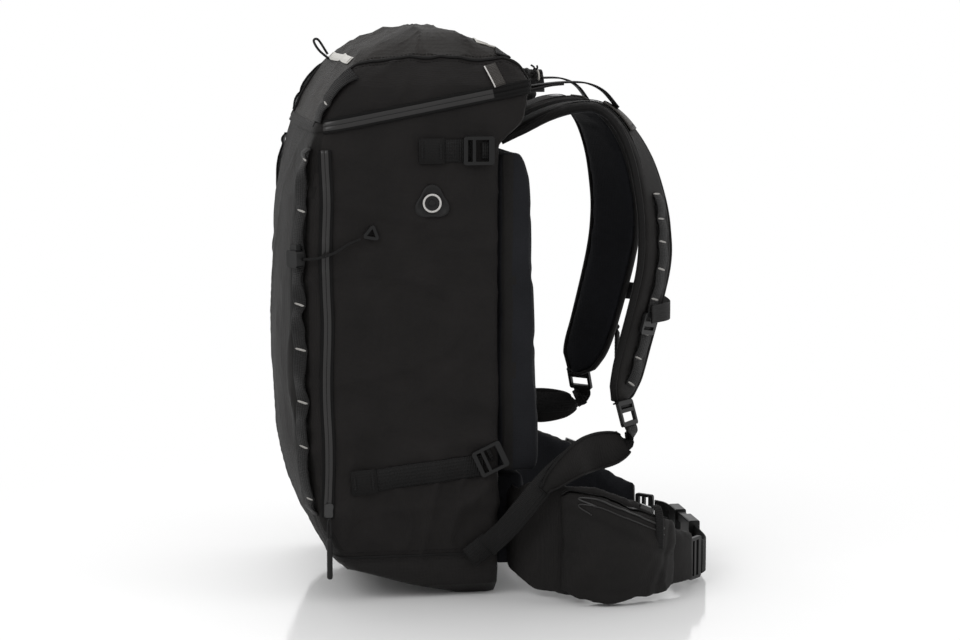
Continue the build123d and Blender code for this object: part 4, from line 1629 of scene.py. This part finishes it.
@dataclass
class ChestStrap:
    """The sternum strap's webbing."""

    palette: Palette
    thick: float = 0.0015

    def build(self) -> None:
        """Makes both lengths of webbing."""
        down = Vector((0, -0.24, -0.97)).normalized()
        out = Vector((0.697, 0.697, -0.172)).normalized()
        along = Vector((-1, 1, 0)).normalized()
        surface = mm(101, 190, 303) + out * 0.006
        start, turn = surface + out * 0.0074, surface + along * 0.033 + out * 0.0064
        half = self._half(start - along * 0.006, turn, 0.0243)
        other = self._half(start - along * 0.006, turn, 0.020)
        left = mirrored(other, "left")
        bpy.data.objects.remove(other)
        settle(join("chest_webbing", [half, left]), "sternum_strap", "webbing", "sternum_webbing")
        LOG.info("chest strap hangs along %s", down)

    def _half(self, start: Vector, turn: Vector, end: float) -> bpy.types.Object:
        """Webbing from a slider to a distance from the middle.

        Args:
            start: Where it leaves the slider.
            turn: Where it bends inwards.
            end: How far from the middle it stops.

        Returns:
            The new object.
        """
        bend = mm(max(end * 1000 + 20, 50), 225, 303)
        line = smooth_line([start, turn, bend, mm(end * 1000, 225, 303)], 10)
        frames = frames_along(line, lambda i: Vector((0, 0, 1)))
        return band("half", frames, 0.020, self.thick, self.palette["webbing"])


@dataclass
class HipBelt:
    """Padded wings, their pockets and the belt's webbing."""

    palette: Palette
    stuffing: Stuffing
    web_z: float = 26.0
    zip_route: tuple[tuple[float, float, float], ...] = (
        (176, 84, 119),
        (190, 104, 124.5),
        (194, 122, 122),
        (193, 150, 111),
        (189, 172, 102.5),
        (180, 196, 92.5),
    )
    lip_marks: tuple[tuple[float, float], ...] = (
        (80, 111),
        (96, 117.5),
        (116, 117),
        (140, 107),
        (164, 96),
        (182, 87),
        (192, 80),
    )

    def build(self) -> None:
        """Makes every soft piece of the belt."""
        p = self.palette
        wing = copy_of("hip_wing_right", "belt_wing_right")
        pocket = copy_of("hip_pocket_right", "belt_pocket_right")
        for obj in (wing, pocket):
            self.stuffing.swell(obj)
        crease(pocket, self._pocket_folds)
        crease(wing, lambda c, n: noise.noise(c * 24.0) * 0.0011)
        middle = Vector((0.10, 0.135, 0.07))
        sort_faces(wing, [p["strap_nylon"], p["spacer_mesh"]], lambda c, n: 1 if n.dot(middle - c) > 0.02 else 0)
        sort_faces(pocket, [p["strap_nylon"]])
        for obj, kind in ((wing, "wing"), (pocket, "pocket")):
            left = mirrored(obj, f"belt_{kind}_left")
            for piece, side in ((obj, "right"), (left, "left")):
                subdivide(piece)
                slot = "strap_fabric" if kind == "wing" else "pack_fabric"
                settle(piece, f"hip_wing_{side}", slot, f"hip_{kind}_{side}")
        self._webbing("right", 36.3)
        self._webbing("left", 29.0)
        self._pocket_zip()

    def _pocket_folds(self, point: Vector, normal: Vector) -> float:
        """Folds of the pocket's slack cloth, and the tuck below its zip.

        Args:
            point: A point of the pocket.
            normal: The surface normal there.

        Returns:
            The distance outwards, in metres.
        """
        if normal.x < 0.3:
            return 0.0
        y, z = point.y, point.z
        top = 0.126 - max(0.0, y - 0.105) * 0.42
        tuck = math.exp(-(((z - (top - 0.027 - 0.10 * (y - 0.10))) / 0.0032) ** 2)) * 0.0028
        hem = math.exp(-(((z - 0.016 - 0.05 * abs(y - 0.13)) / 0.0030) ** 2)) * 0.0020
        dart = math.exp(-(((y - 0.196 + 0.25 * (0.06 - z)) / 0.0030) ** 2)) * 0.0016
        folds = 0.0024 * ripple(point, 15.0, Vector((1.0, 0.55, 1.4)), 2.7) ** 8
        folds += 0.0022 * ripple(point, 24.0, Vector((1.0, 1.3, 0.6)), 7.9) ** 9
        bulge = 0.0030 * math.exp(-(((y - 0.135) / 0.045) ** 2) - (((z - 0.055) / 0.035) ** 2))
        return folds + bulge + noise.noise(point * 16.0) * 0.0014 - tuck - hem - dart

    def _webbing(self, side: str, start: float) -> None:
        """Belt webbing from a ladder lock to the buckle.

        Args:
            side: The wearer's side.
            start: How far from the middle it ends, in millimetres.
        """
        points = [(x, y, self.web_z) for x, y in ((106.2, 257), (92, 264.8), (64, 268), (start, 268))]
        frames = frames_along(mm_line(points, 8), lambda i: Vector((0, 0, 1)))
        obj = band(f"belt_web_{side}", frames, 0.038, 0.0018, self.palette["webbing"])
        if side == "left":
            piece = mirrored(obj, "belt_web_far")
            bpy.data.objects.remove(obj)
            obj = piece
        settle(obj, f"hip_wing_{side}", "webbing", f"belt_webbing_{side}")

    def _pocket_zip(self) -> None:
        """The zip along the top of each pocket, with its pull."""
        for side, way in (("right", 1), ("left", -1)):
            bm = bmesh.new()
            bm.from_mesh(bpy.data.objects[f"belt_pocket_{side}"].data)
            bm.normal_update()
            skin = Skin(bm)
            bm.free()
            self._tapes(side, way, skin)
            self._pull(side, way)

    def _tapes(self, side: str, way: int, skin: Skin) -> None:
        """A pocket zip's tapes and the lips of cloth over them.

        Args:
            side: The wearer's side.
            way: 1 on the right and -1 on the left.
            skin: The pocket's surface.
        """
        p = self.palette
        line = mm_line(((way * x, y, z) for x, y, z in self.zip_route), 10)
        frames = skin.frames(respaced(line, STEP), 0.0003)
        film, woven = flat_profile(0.0040, 0.0013, 0.25), flat_profile(0.0032, 0.0014, 0.4)
        parts = []
        for lane in (1, -1):
            parts.append(new_object("film", sweep(shifted(frames, lane * 0.0021), film), [p["zip_film"]]))
            parts.append(new_object("edge", sweep(shifted(frames, lane * 0.0058), woven), [p["zip_edge"]]))
        for drop, radius in ((0.0, 0.0011), (7.0, 0.0007)):
            outer = [skin.hit((way * 0.3, y * MM, (z - drop) * MM), (-way, 0, 0))[0] for y, z in self.lip_marks]
            lip = skin.frames(respaced(smooth_line(outer, 6), FINE_STEP), 0.0005)
            parts.append(new_object("lip", sweep(lip, round_profile(radius, 8)), [p["zip_film"]]))
        settle(join(f"pocket_zip_{side}", parts), f"hip_wing_{side}", "zip_coating")

    def _pull(self, side: str, way: int) -> None:
        """The webbing pull that hangs from a pocket's slider.

        Args:
            side: The wearer's side.
            way: 1 on the right and -1 on the left.
        """
        low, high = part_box(f"pocket_slider_{side}")
        y, z = high.y + 0.0006, low.z + 0.0052
        points = (
            (0.1905, y, z),
            (0.1945, y + 0.003, z - 0.002),
            (0.1965, y + 0.0045, z - 0.010),
            (0.1975, y + 0.0050, z - 0.026),
            (0.1959, y + 0.0052, z - 0.044),
        )
        line = smooth_line([Vector((way * x, *rest)) for x, *rest in points], 6)
        frames = frames_along(line, lambda i: Vector((0, 1, 0)))
        pull = band(f"pocket_pull_{side}", frames, 0.0085, 0.0018, self.palette["webbing"])
        settle(pull, f"pocket_slider_{side}", "webbing")


@dataclass
class BackPads:
    """The pads that lie against the wearer's back."""

    palette: Palette
    stuffing: Stuffing
    lanes: tuple[float, ...] = (0.205, 0.275, 0.345, 0.415)

    def build(self) -> None:
        """Makes the tall pad with its channels and the lumbar pad."""
        p = self.palette
        pad = copy_of("back_pad", "back_cushion")
        self.stuffing.swell(pad)
        with editing(pad) as bm:
            for vert in bm.verts:
                if vert.normal.y >= 0.3 or vert.co.y >= 0.05:
                    vert.co.y -= self._groove(vert.co)
        sort_faces(pad, [p["spacer_mesh"], p["strap_nylon"]], lambda c, n: 1 if abs(n.x) > 0.75 and c.y < 0.040 else 0)
        subdivide(pad)
        settle(pad, "pack", "spacer_mesh", "back_pad")
        lumbar = copy_of("lumbar_pad", "lumbar_cushion")
        self.stuffing.swell(lumbar)
        sort_faces(lumbar, [p["spacer_mesh"]])
        subdivide(lumbar)
        settle(lumbar, "pack", "spacer_mesh", "lumbar_pad")

    def _groove(self, point: Vector) -> float:
        """Depth of the spine channel, the cross channels and the side seams at a point."""
        spine = math.exp(-((point.x / 0.020) ** 2)) * 0.011
        lanes = sum(math.exp(-(((point.z - z) / 0.005) ** 2)) for z in self.lanes) * 0.0050
        flank = math.exp(-(((abs(point.x) - 0.088) / 0.0035) ** 2)) * 0.0035
        inside = min(1.0, max(0.0, (0.126 - abs(point.x)) / 0.02))
        return spine + lanes * inside + flank


# ---------------------------------------------------------------- side straps, top
@dataclass
class SideStraps:
    """Webbing, sewn keepers and tabs of the straps on both sides."""

    palette: Palette
    skin: Skin
    width: float = 24 * MM
    upper: tuple[float, float, float, float] = (-64.0, 484.0, -10.0, 484.0)
    lower: tuple[float, float, float, float] = (-138.0, 132.3, 4.0, 147.0)

    def build(self) -> None:
        """Makes the straps on the wearer's right and their mirror images."""
        p = self.palette
        webs, keepers = [], []
        for y0, z0, y1, z1 in (self.upper, self.lower):
            web, keeper = self._strap(y0, z0, y1, z1)
            webs.append(web)
            keepers += keeper
        tabs = [self._tab(mm(147, 2, 484), mm(146.6, 12, 484)), self._tab(mm(147, 8, 159), mm(146.6, 12, 161))]
        tabs.append(self._tab(mm(147.4, -12, 45), mm(146.6, 11, 62), 0.026))
        groups = (
            ("side_webbing", webs, "side_straps"),
            ("side_keepers", keepers, "strap_patches"),
            ("side_tabs", tabs, "webbing_tabs"),
        )
        for name, pieces, node in groups:
            settle_pair(join(f"{name}_right", pieces), name, "pack", "webbing", node)
        LOG.info("side straps use %s", p["webbing"].name)

    def _path(self, y0: float, z0: float, y1: float, z1: float, lift: float) -> list[Frame]:
        """Frames on the side of the bag between two points, looking outwards.

        Args:
            y0: Depth of the first point, in millimetres.
            z0: Its height.
            y1: Depth of the second point.
            z1: Its height.
            lift: Height above the skin, in metres.

        Returns:
            The frames.
        """
        line = []
        for y, z in zip(spaced(y0, y1, 24), spaced(z0, z1, 24)):
            y, z = y * MM, z * MM
            point = self.skin.hit((0.3, y, z), (-1, 0, 0))[0]
            line.append(Vector((max(point.x, 0.1448), y, z)))
        line = respaced(line, STEP, 3)
        across = Vector((0.0, -(z1 - z0), y1 - y0)).normalized()
        return shifted(frames_along(line, lambda i: across), 0.0, lift)

    def _strap(self, y0: float, z0: float, y1: float, z1: float) -> tuple[bpy.types.Object, list[bpy.types.Object]]:
        """One strap: its webbing, its keeper loop and the stitches that hold them.

        Args:
            y0: Depth of its front end, in millimetres.
            z0: Height of that end.
            y1: Depth of its rear end.
            z1: Height of that end.

        Returns:
            The webbing, and the keeper with its stitches.
        """
        p = self.palette
        web = band("web", self._path(y0, z0, y1, z1, 0.0006), self.width, 0.0019, p["webbing"])
        share = 26.0 / math.hypot(y1 - y0, z1 - z0)
        y2, z2 = y0 + (y1 - y0) * share, z0 + (z1 - z0) * share
        pad = self._path(y0 - 1.5, z0, y2, z2, 0.0024)
        for i, f in enumerate(pad):
            f.centre += f.out * 0.0012 * math.sin(math.pi * i / (len(pad) - 1))
        keeper = band("keeper", pad, self.width + 0.0025, 0.0014, p["binding"])
        ends = [bartack(pad[k], 0.0012, 0.021, p["webbing"], 0.0, 0.0026) for k in (1, -2)]
        return web, [keeper, *ends]

    def _tab(self, start: Vector, end: Vector, width: float = 0.018) -> bpy.types.Object:
        """A short tab sewn into the rear seam."""
        line = [start.lerp(end, i / 6) for i in range(7)]
        return band("tab", frames_along(line, lambda i: Vector((0, 0, 1))), width, 0.0020, self.palette["webbing"])


@dataclass
class TopTrim:
    """Haul loop, rolled rope strap and the small cords behind the lid."""

    palette: Palette
    skin: Skin

    def build(self) -> None:
        """Makes every piece behind the lid."""
        self._haul_loop()
        self._rope_strap()
        self._rear_cords()

    def _haul_loop(self) -> None:
        """A padded grab loop with webbing ends."""
        p = self.palette
        half = ((38, 57.5, 532), (38.2, 66, 534), (34, 77, 536.6), (20, 81.2, 537))
        line = mm_line([(-x, y, z) for x, y, z in half] + list(reversed(half)), 8)
        frames = frames_along(line, lambda i: Vector((0, 0.25, 1)))
        last = len(frames) - 1
        for i, f in enumerate(frames):
            middle = math.sin(math.pi * i / last)
            f.width = 0.85 + 0.15 * min(1.0, middle * 2)
            f.thick = 0.45 + 0.55 * min(1.0, max(0.0, middle - 0.25) * 4)
        handle = new_object("handle", sweep(frames, round_profile(0.0050, 16, 0.80)), [p["strap_nylon"]])
        pieces = [handle]
        for mark in (0.22, 0.78):
            pieces.append(bartack(frames[round(last * mark)], 0.0037, 0.008, p["webbing"]))
        settle(join("grab_loop", pieces), "haul_loop", "webbing", "haul_loop")

    def _rope_strap(self) -> None:
        """Webbing folded back on itself and held by an elastic, with its loose ends."""
        p = self.palette
        pieces = []
        for k, (x0, z0) in enumerate(((-11, 549.6), (-5, 553), (0.5, 557), (6, 554), (11, 550.4), (0, 560.6))):
            sway = 1.2 * math.sin(k * 2.1)
            points = ((x0, 61, z0), (x0 + sway, 72, z0 + 1.0), (x0 - sway, 84, z0 - 0.6))
            line = mm_line((*points, (x0 + sway, 96.0, z0 + 0.8 * (-1) ** k)), 7)
            frames = frames_along(line, lambda i, k=k: Vector((math.cos(0.5 * k), 0, math.sin(0.5 * k))))
            pieces.append(new_object("fold", sweep(frames, round_profile(0.0046, 12, 0.55)), [p["webbing"]]))
        ties = (("elastic", 0.0016, 79.0, 555.5, 15.0, 8.2), ("pale_cord", 0.0011, 90.0, 555.2, 13.8, 7.6))
        for finish, radius, y, z, wide, tall in ties:
            circle = [mm(wide * math.cos(t), y, z + tall * math.sin(t)) for t in turns(28)]
            pieces.append(tube("tie", circle, radius, p[finish], True))
        for k in range(9):
            turn = 0.7 * k
            root = mm(10 * math.cos(turn), 84 + 1.2 * k, 556 + 5 * math.sin(turn))
            tip = root + mm(7 * math.cos(turn), 3.5 * math.sin(2.3 * k), 6.5 * abs(math.sin(turn + 0.8)) + 2)
            line = smooth_line([root, root.lerp(tip, 0.5) + mm(0, 2, 1), tip], 5)
            pieces.append(tube("end", line, 0.0011, p["elastic"], sides=7))
        settle(join("rope_strap", pieces), "pack", "webbing", "rope_strap_roll")

    def _rear_cords(self) -> None:
        """Grey tab, pale edge cord and a pale cord at the rear corner of the lid."""
        p = self.palette
        marks = ((14, 572), (17, 565), (20, 558), (23, 550.6))
        spots = [self.skin.hit((0.3, y * MM, z * MM), (-1, 0, 0))[0] for y, z in marks]
        frames = self.skin.frames(respaced(smooth_line(spots, 4), FINE_STEP), 0.0006)
        tab = band("tab", frames, 0.013, 0.0020, p["grey_tab"])
        edge = new_object("edge", sweep(shifted(frames, -0.0062, 0.0018), round_profile(0.0008, 8)), [p["pale_mark"]])
        settle(join("rear_tab", [tab, edge]), "lid", "webbing")
        marks = ((88, 14, 590.5), (96, 19, 588), (102, 26, 583), (105, 33, 577))
        spots = [self.skin.nearest(mm(*m))[0] for m in marks]
        frames = self.skin.frames(respaced(smooth_line(spots, 6), FINE_STEP), 0.0012)
        cord = new_object("rear_cord", sweep(frames, round_profile(0.0011, 8)), [p["pale_cord"]])
        settle(cord, "lid", "elastic_cord")


# ---------------------------------------------------------------- hardware
@dataclass
class Hardware:
    """Moulded and metal pieces, pulls and small cords."""

    palette: Palette
    skin: Skin
    plastics: tuple[str, ...] = (
        "hip_ladder_lock_left",
        "hip_ladder_lock_right",
        "hip_plug",
        "hip_socket",
        "lifter_buckles",
        "lower_hook_left",
        "lower_hook_right",
        "shoulder_buckle_left",
        "shoulder_buckle_right",
        "sternum_plug",
        "sternum_sliders",
        "sternum_socket",
        "tool_cord_button",
        "tool_cord_hook",
        "tool_cord_lock",
        "upper_hook_left",
        "upper_hook_right",
    )
    metals: tuple[str, ...] = (
        "lid_zip_pull",
        "lid_zip_slider",
        "main_zip_slider",
        "pocket_slider_left",
        "pocket_slider_right",
    )
    tool_cord: tuple[tuple[float, float, float], ...] = (
        (140.8, -187.0, 371.6),
        (149.4, -172.0, 373.6),
        (150.6, -155, 379),
        (149.0, -140, 387.6),
        (147.6, -127, 392.6),
    )

    def build(self) -> None:
        """Dresses the CAD hardware and makes the cords and pulls."""
        p = self.palette
        for node in self.plastics:
            self.dress(node, p["black_plastic"])
        for node in self.metals:
            self.dress(node, p["zip_metal"])
        self.dress("frame_sheet", p["frame_plastic"])
        self.dress("frame_stays", p["stay_metal"])
        self._hanging_pull("main_pull_tube", mm(151.9, -163, 96), "main_pull", "main_zip_pull")
        self._strap_pull()
        cord = tube("tool_elastic", mm_line(self.tool_cord, 8), 0.0015, p["elastic"], sides=10)
        settle(cord, "pack", "elastic_cord", "tool_cord")

    def _hanging_pull(self, name: str, top: Vector, body: str, node: str) -> None:
        """A knotted cord in a ribbed rubber tube.

        Args:
            name: The piece's name.
            top: Where the cord leaves the slider.
            body: The body that it rides on.
            node: The CAD node that it stands for.
        """
        p = self.palette
        low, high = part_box(node)
        x, y = (low.x + high.x) / 2, (low.y + high.y) / 2
        tube_top = high.z - 0.021
        cords = []
        for way in (-1, 1):
            spots = ((0.0004, high.z), (0.0017, high.z - 0.009), (0.0009, tube_top - 0.004))
            line = smooth_line([(x, y + way * spread, z) for spread, z in spots], 6)
            cords.append(tube("cord", line, 0.0010, p["elastic"]))
        rings = []
        sizes = ((0.0, 0.45), (0.001, 0.80), (0.0035, 1.0), (0.006, 0.92), (0.008, 1.0))
        length = tube_top - low.z
        ribs = [(0.008 + (length - 0.016) * i / 30, 0.93 if i % 3 == 1 else 1.0) for i in range(1, 30)]
        tail = [(length - 0.006, 1.0), (length - 0.002, 0.98), (length - 0.0006, 0.8), (length, 0.5)]
        for down, share in (*sizes, *ribs, *tail):
            wide, deep = 0.0028 * share, 0.0031 * share
            z = tube_top - down
            rings.append([Vector((x + wide * math.cos(t), y + deep * math.sin(t), z)) for t in turns(16)])
        grip = new_object("grip", ring_surface(rings), [p["rubber"]])
        settle(join(name, [*cords, grip]), body, "pull_rubber", node)
        LOG.info("%s hangs from %s", name, tuple(round(v, 4) for v in top))

    def _strap_pull(self) -> None:
        """The pull of the pocket on the left strap keeps its CAD slider's place."""
        p = self.palette
        low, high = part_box("strap_zip_pull")
        x, y = low.x + 0.0034, high.y - 0.0034
        spots = ((-0.001, -0.003, 0.006), (0.0005, -0.001, 0.014), (0.0, 0.0, 0.024), (0.0, 0.0, 0.034))
        line = smooth_line([(x + right, y + back, high.z - down) for right, back, down in spots], 6)
        cord = tube("cord", line, 0.0012, p["elastic"])
        knot_line = [Vector((x, y, high.z - 0.026 - 0.0006 * i)) for i in range(10)]
        knot_frames = frames_along(knot_line, lambda i: Vector((1, 0, 0)))
        for i, f in enumerate(knot_frames):
            f.width = f.thick = 0.35 + 0.65 * math.sin(math.pi * (i + 0.5) / 10)
        knot = new_object("knot", sweep(knot_frames, round_profile(0.0030, 12)), [p["elastic"]])
        rings = []
        top, bottom = high.z - 0.033, low.z
        for i in range(34):
            share = i / 33
            size = min(1.0, 0.5 + share * 9, 0.55 + (1 - share) * 12) * (0.94 if i % 3 == 1 else 1.0)
            reach, z = 0.0031 * size, top + (bottom - top) * share
            rings.append([Vector((x + reach * math.cos(t), y + reach * math.sin(t), z)) for t in turns(16)])
        grip = new_object("grip", ring_surface(rings), [p["rubber"]])
        slide_line = [
            Vector((low.x + 0.004 - 0.0002 * i, low.y + 0.0045, high.z - 0.001 - 0.0012 * i)) for i in range(11)
        ]
        slide_frames = frames_along(slide_line, lambda i: Vector((1, 1, 0)))
        for i, f in enumerate(slide_frames):
            f.width = 0.7 + 0.3 * math.sin(math.pi * i / 10)
        slider = new_object("slider", sweep(slide_frames, flat_profile(0.0075, 0.0030, 0.3)), [p["zip_metal"]])
        settle(join("strap_pull", [cord, knot, grip, slider]), "strap_slider", "pull_rubber", "strap_zip_pull")

    def dress(self, node: str, material: bpy.types.Material) -> None:
        """Gives a CAD node a finish.

        Args:
            node: The CAD node.
            material: Its finish.
        """
        obj = FRAME["nodes"][node]
        for material_slot in obj.material_slots:
            material_slot.material = material
        LOG.info("%s keeps its moulded shape", node)


# ---------------------------------------------------------------- studio
@dataclass
class Studio:
    """White floor, white surroundings, soft light and the camera."""

    target: tuple[float, float, float] = (0.0, 0.026, 0.283)
    azimuth: float = 80.0
    elevation: float = 8.0
    distance: float = 2.7
    lens: float = 90.0
    fill: float = 0.74

    def camera(self) -> None:
        """Places the camera."""
        data = bpy.data.cameras.new("camera")
        data.lens = self.lens
        data.sensor_width = 36.0
        obj = bpy.data.objects.new("camera", data)
        bpy.context.scene.collection.objects.link(obj)
        turn, rise = math.radians(self.azimuth), math.radians(self.elevation)
        away = Vector((math.sin(turn) * math.cos(rise), -math.cos(turn) * math.cos(rise), math.sin(rise)))
        obj.location = Vector(self.target) + away * self.distance
        obj.rotation_euler = away.to_track_quat("Z", "Y").to_euler()
        bpy.context.scene.camera = obj

    def build(self) -> None:
        """Makes the light and the floor."""
        self._world()
        self._floor()
        self._lamp("key", (1.5, -1.9, 2.1), 1.5, 24.0)
        self._lamp("rear_fill", (1.2, 2.0, 1.5), 1.3, 7.0)
        self._lamp("top", (-0.5, -0.2, 2.4), 1.4, 12.0)
        bpy.context.scene.view_settings.view_transform = "Standard"

    def _lamp(self, name: str, place: tuple[float, float, float], size: float, power: float) -> None:
        """A square soft lamp that looks at the pack.

        Args:
            name: Its name.
            place: Where it stands.
            size: Length of its sides.
            power: Its power in watts.
        """
        data = bpy.data.lights.new(name, "AREA")
        data.energy = power
        data.size = size
        obj = bpy.data.objects.new(name, data)
        bpy.context.scene.collection.objects.link(obj)
        obj.location = place
        obj.rotation_euler = (Vector(place) - Vector((0, 0, 0.3))).to_track_quat("Z", "Y").to_euler()

    def _seen(self, tree: bpy.types.NodeTree) -> bpy.types.NodeSocket:
        """1 for rays that show the surroundings, 0 for rays that light the pack."""
        path = add_node(tree, "LightPath").outputs
        direct = calculate(tree, "MAXIMUM", path["Is Camera Ray"], path["Is Glossy Ray"])
        return calculate(tree, "MAXIMUM", direct, path["Is Transmission Ray"])

    def _world(self) -> None:
        """White where it is seen, softer where it lights."""
        world = bpy.data.worlds.new("studio")
        bpy.context.scene.world = world
        world.use_nodes = True
        tree = world.node_tree
        sky = tree.nodes["Background"]
        sky.inputs["Color"].default_value = (1.0, 1.0, 1.0, 1.0)
        level = add_node(tree, "MapRange", {"To Min": self.fill, "To Max": 1.0, "Value": self._seen(tree)})
        tree.links.new(level.outputs["Result"], sky.inputs["Strength"])

    def _floor(self) -> None:
        """A glossy white floor that fades into the white around it."""
        bm = bmesh.new()
        bmesh.ops.create_circle(bm, cap_ends=True, segments=96, radius=14.0)
        floor = new_object("floor", bm, [self._floor_material()], False)

    def _floor_material(self) -> bpy.types.Material:
        """White and a little glossy near the pack, plain white further out."""
        mat, tree = blank_material("floor_white")
        reach = add_node(tree, "VectorMath", {0: add_node(tree, "TexCoord").outputs["Object"]}, operation="LENGTH")
        spread = {"From Min": 0.30, "From Max": 0.78, "Value": reach.outputs["Value"]}
        fade = add_node(tree, "MapRange", spread, interpolation_type="SMOOTHSTEP")
        seen = self._seen(tree)
        share = calculate(tree, "MULTIPLY", fade.outputs["Result"], seen)
        shade = add_node(tree, "MapRange", {"To Min": 0.80, "To Max": 1.0, "Value": seen}).outputs["Result"]
        white = add_node(tree, "CombineColor", {"Red": shade, "Green": shade, "Blue": shade})
        gloss = {"Roughness": 0.10, "Specular IOR Level": 0.80, "Base Color": white.outputs["Color"]}
        near = add_node(tree, "BsdfPrincipled", gloss)
        far = add_node(tree, "Emission", {"Color": (1.0, 1.0, 1.0, 1.0)})
        mix = add_node(tree, "MixShader", {0: share, 1: near.outputs[0], 2: far.outputs[0]})
        add_node(tree, "OutputMaterial", {"Surface": mix.outputs[0]})
        return mat


def hull_from_frame() -> Hull:
    """The bag's form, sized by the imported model."""
    side, front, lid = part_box("side_panel_right"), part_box("front_panel"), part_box("lid_shell")
    back_y = 0.023
    return Hull(height=lid[1].z, back_y=back_y, depth=back_y - front[0].y, half_width=side[1].x)


def main() -> None:
    """Builds the whole scene."""
    logging.basicConfig(level=logging.INFO, format="%(message)s")
    FRAME.update(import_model())
    studio = Studio()
    studio.camera()
    palette = Palette()
    stuffing = Stuffing()
    bag = Bag(palette, hull_from_frame())
    bag.build()
    BackPads(palette, stuffing).build()
    ShoulderStraps(palette, stuffing).build()
    ChestStrap(palette).build()
    HipBelt(palette, stuffing).build()
    SideStraps(palette, bag.skin).build()
    TopTrim(palette, bag.skin).build()
    Hardware(palette, bag.skin).build()
    studio.build()


if __name__ == "__main__":
    main()
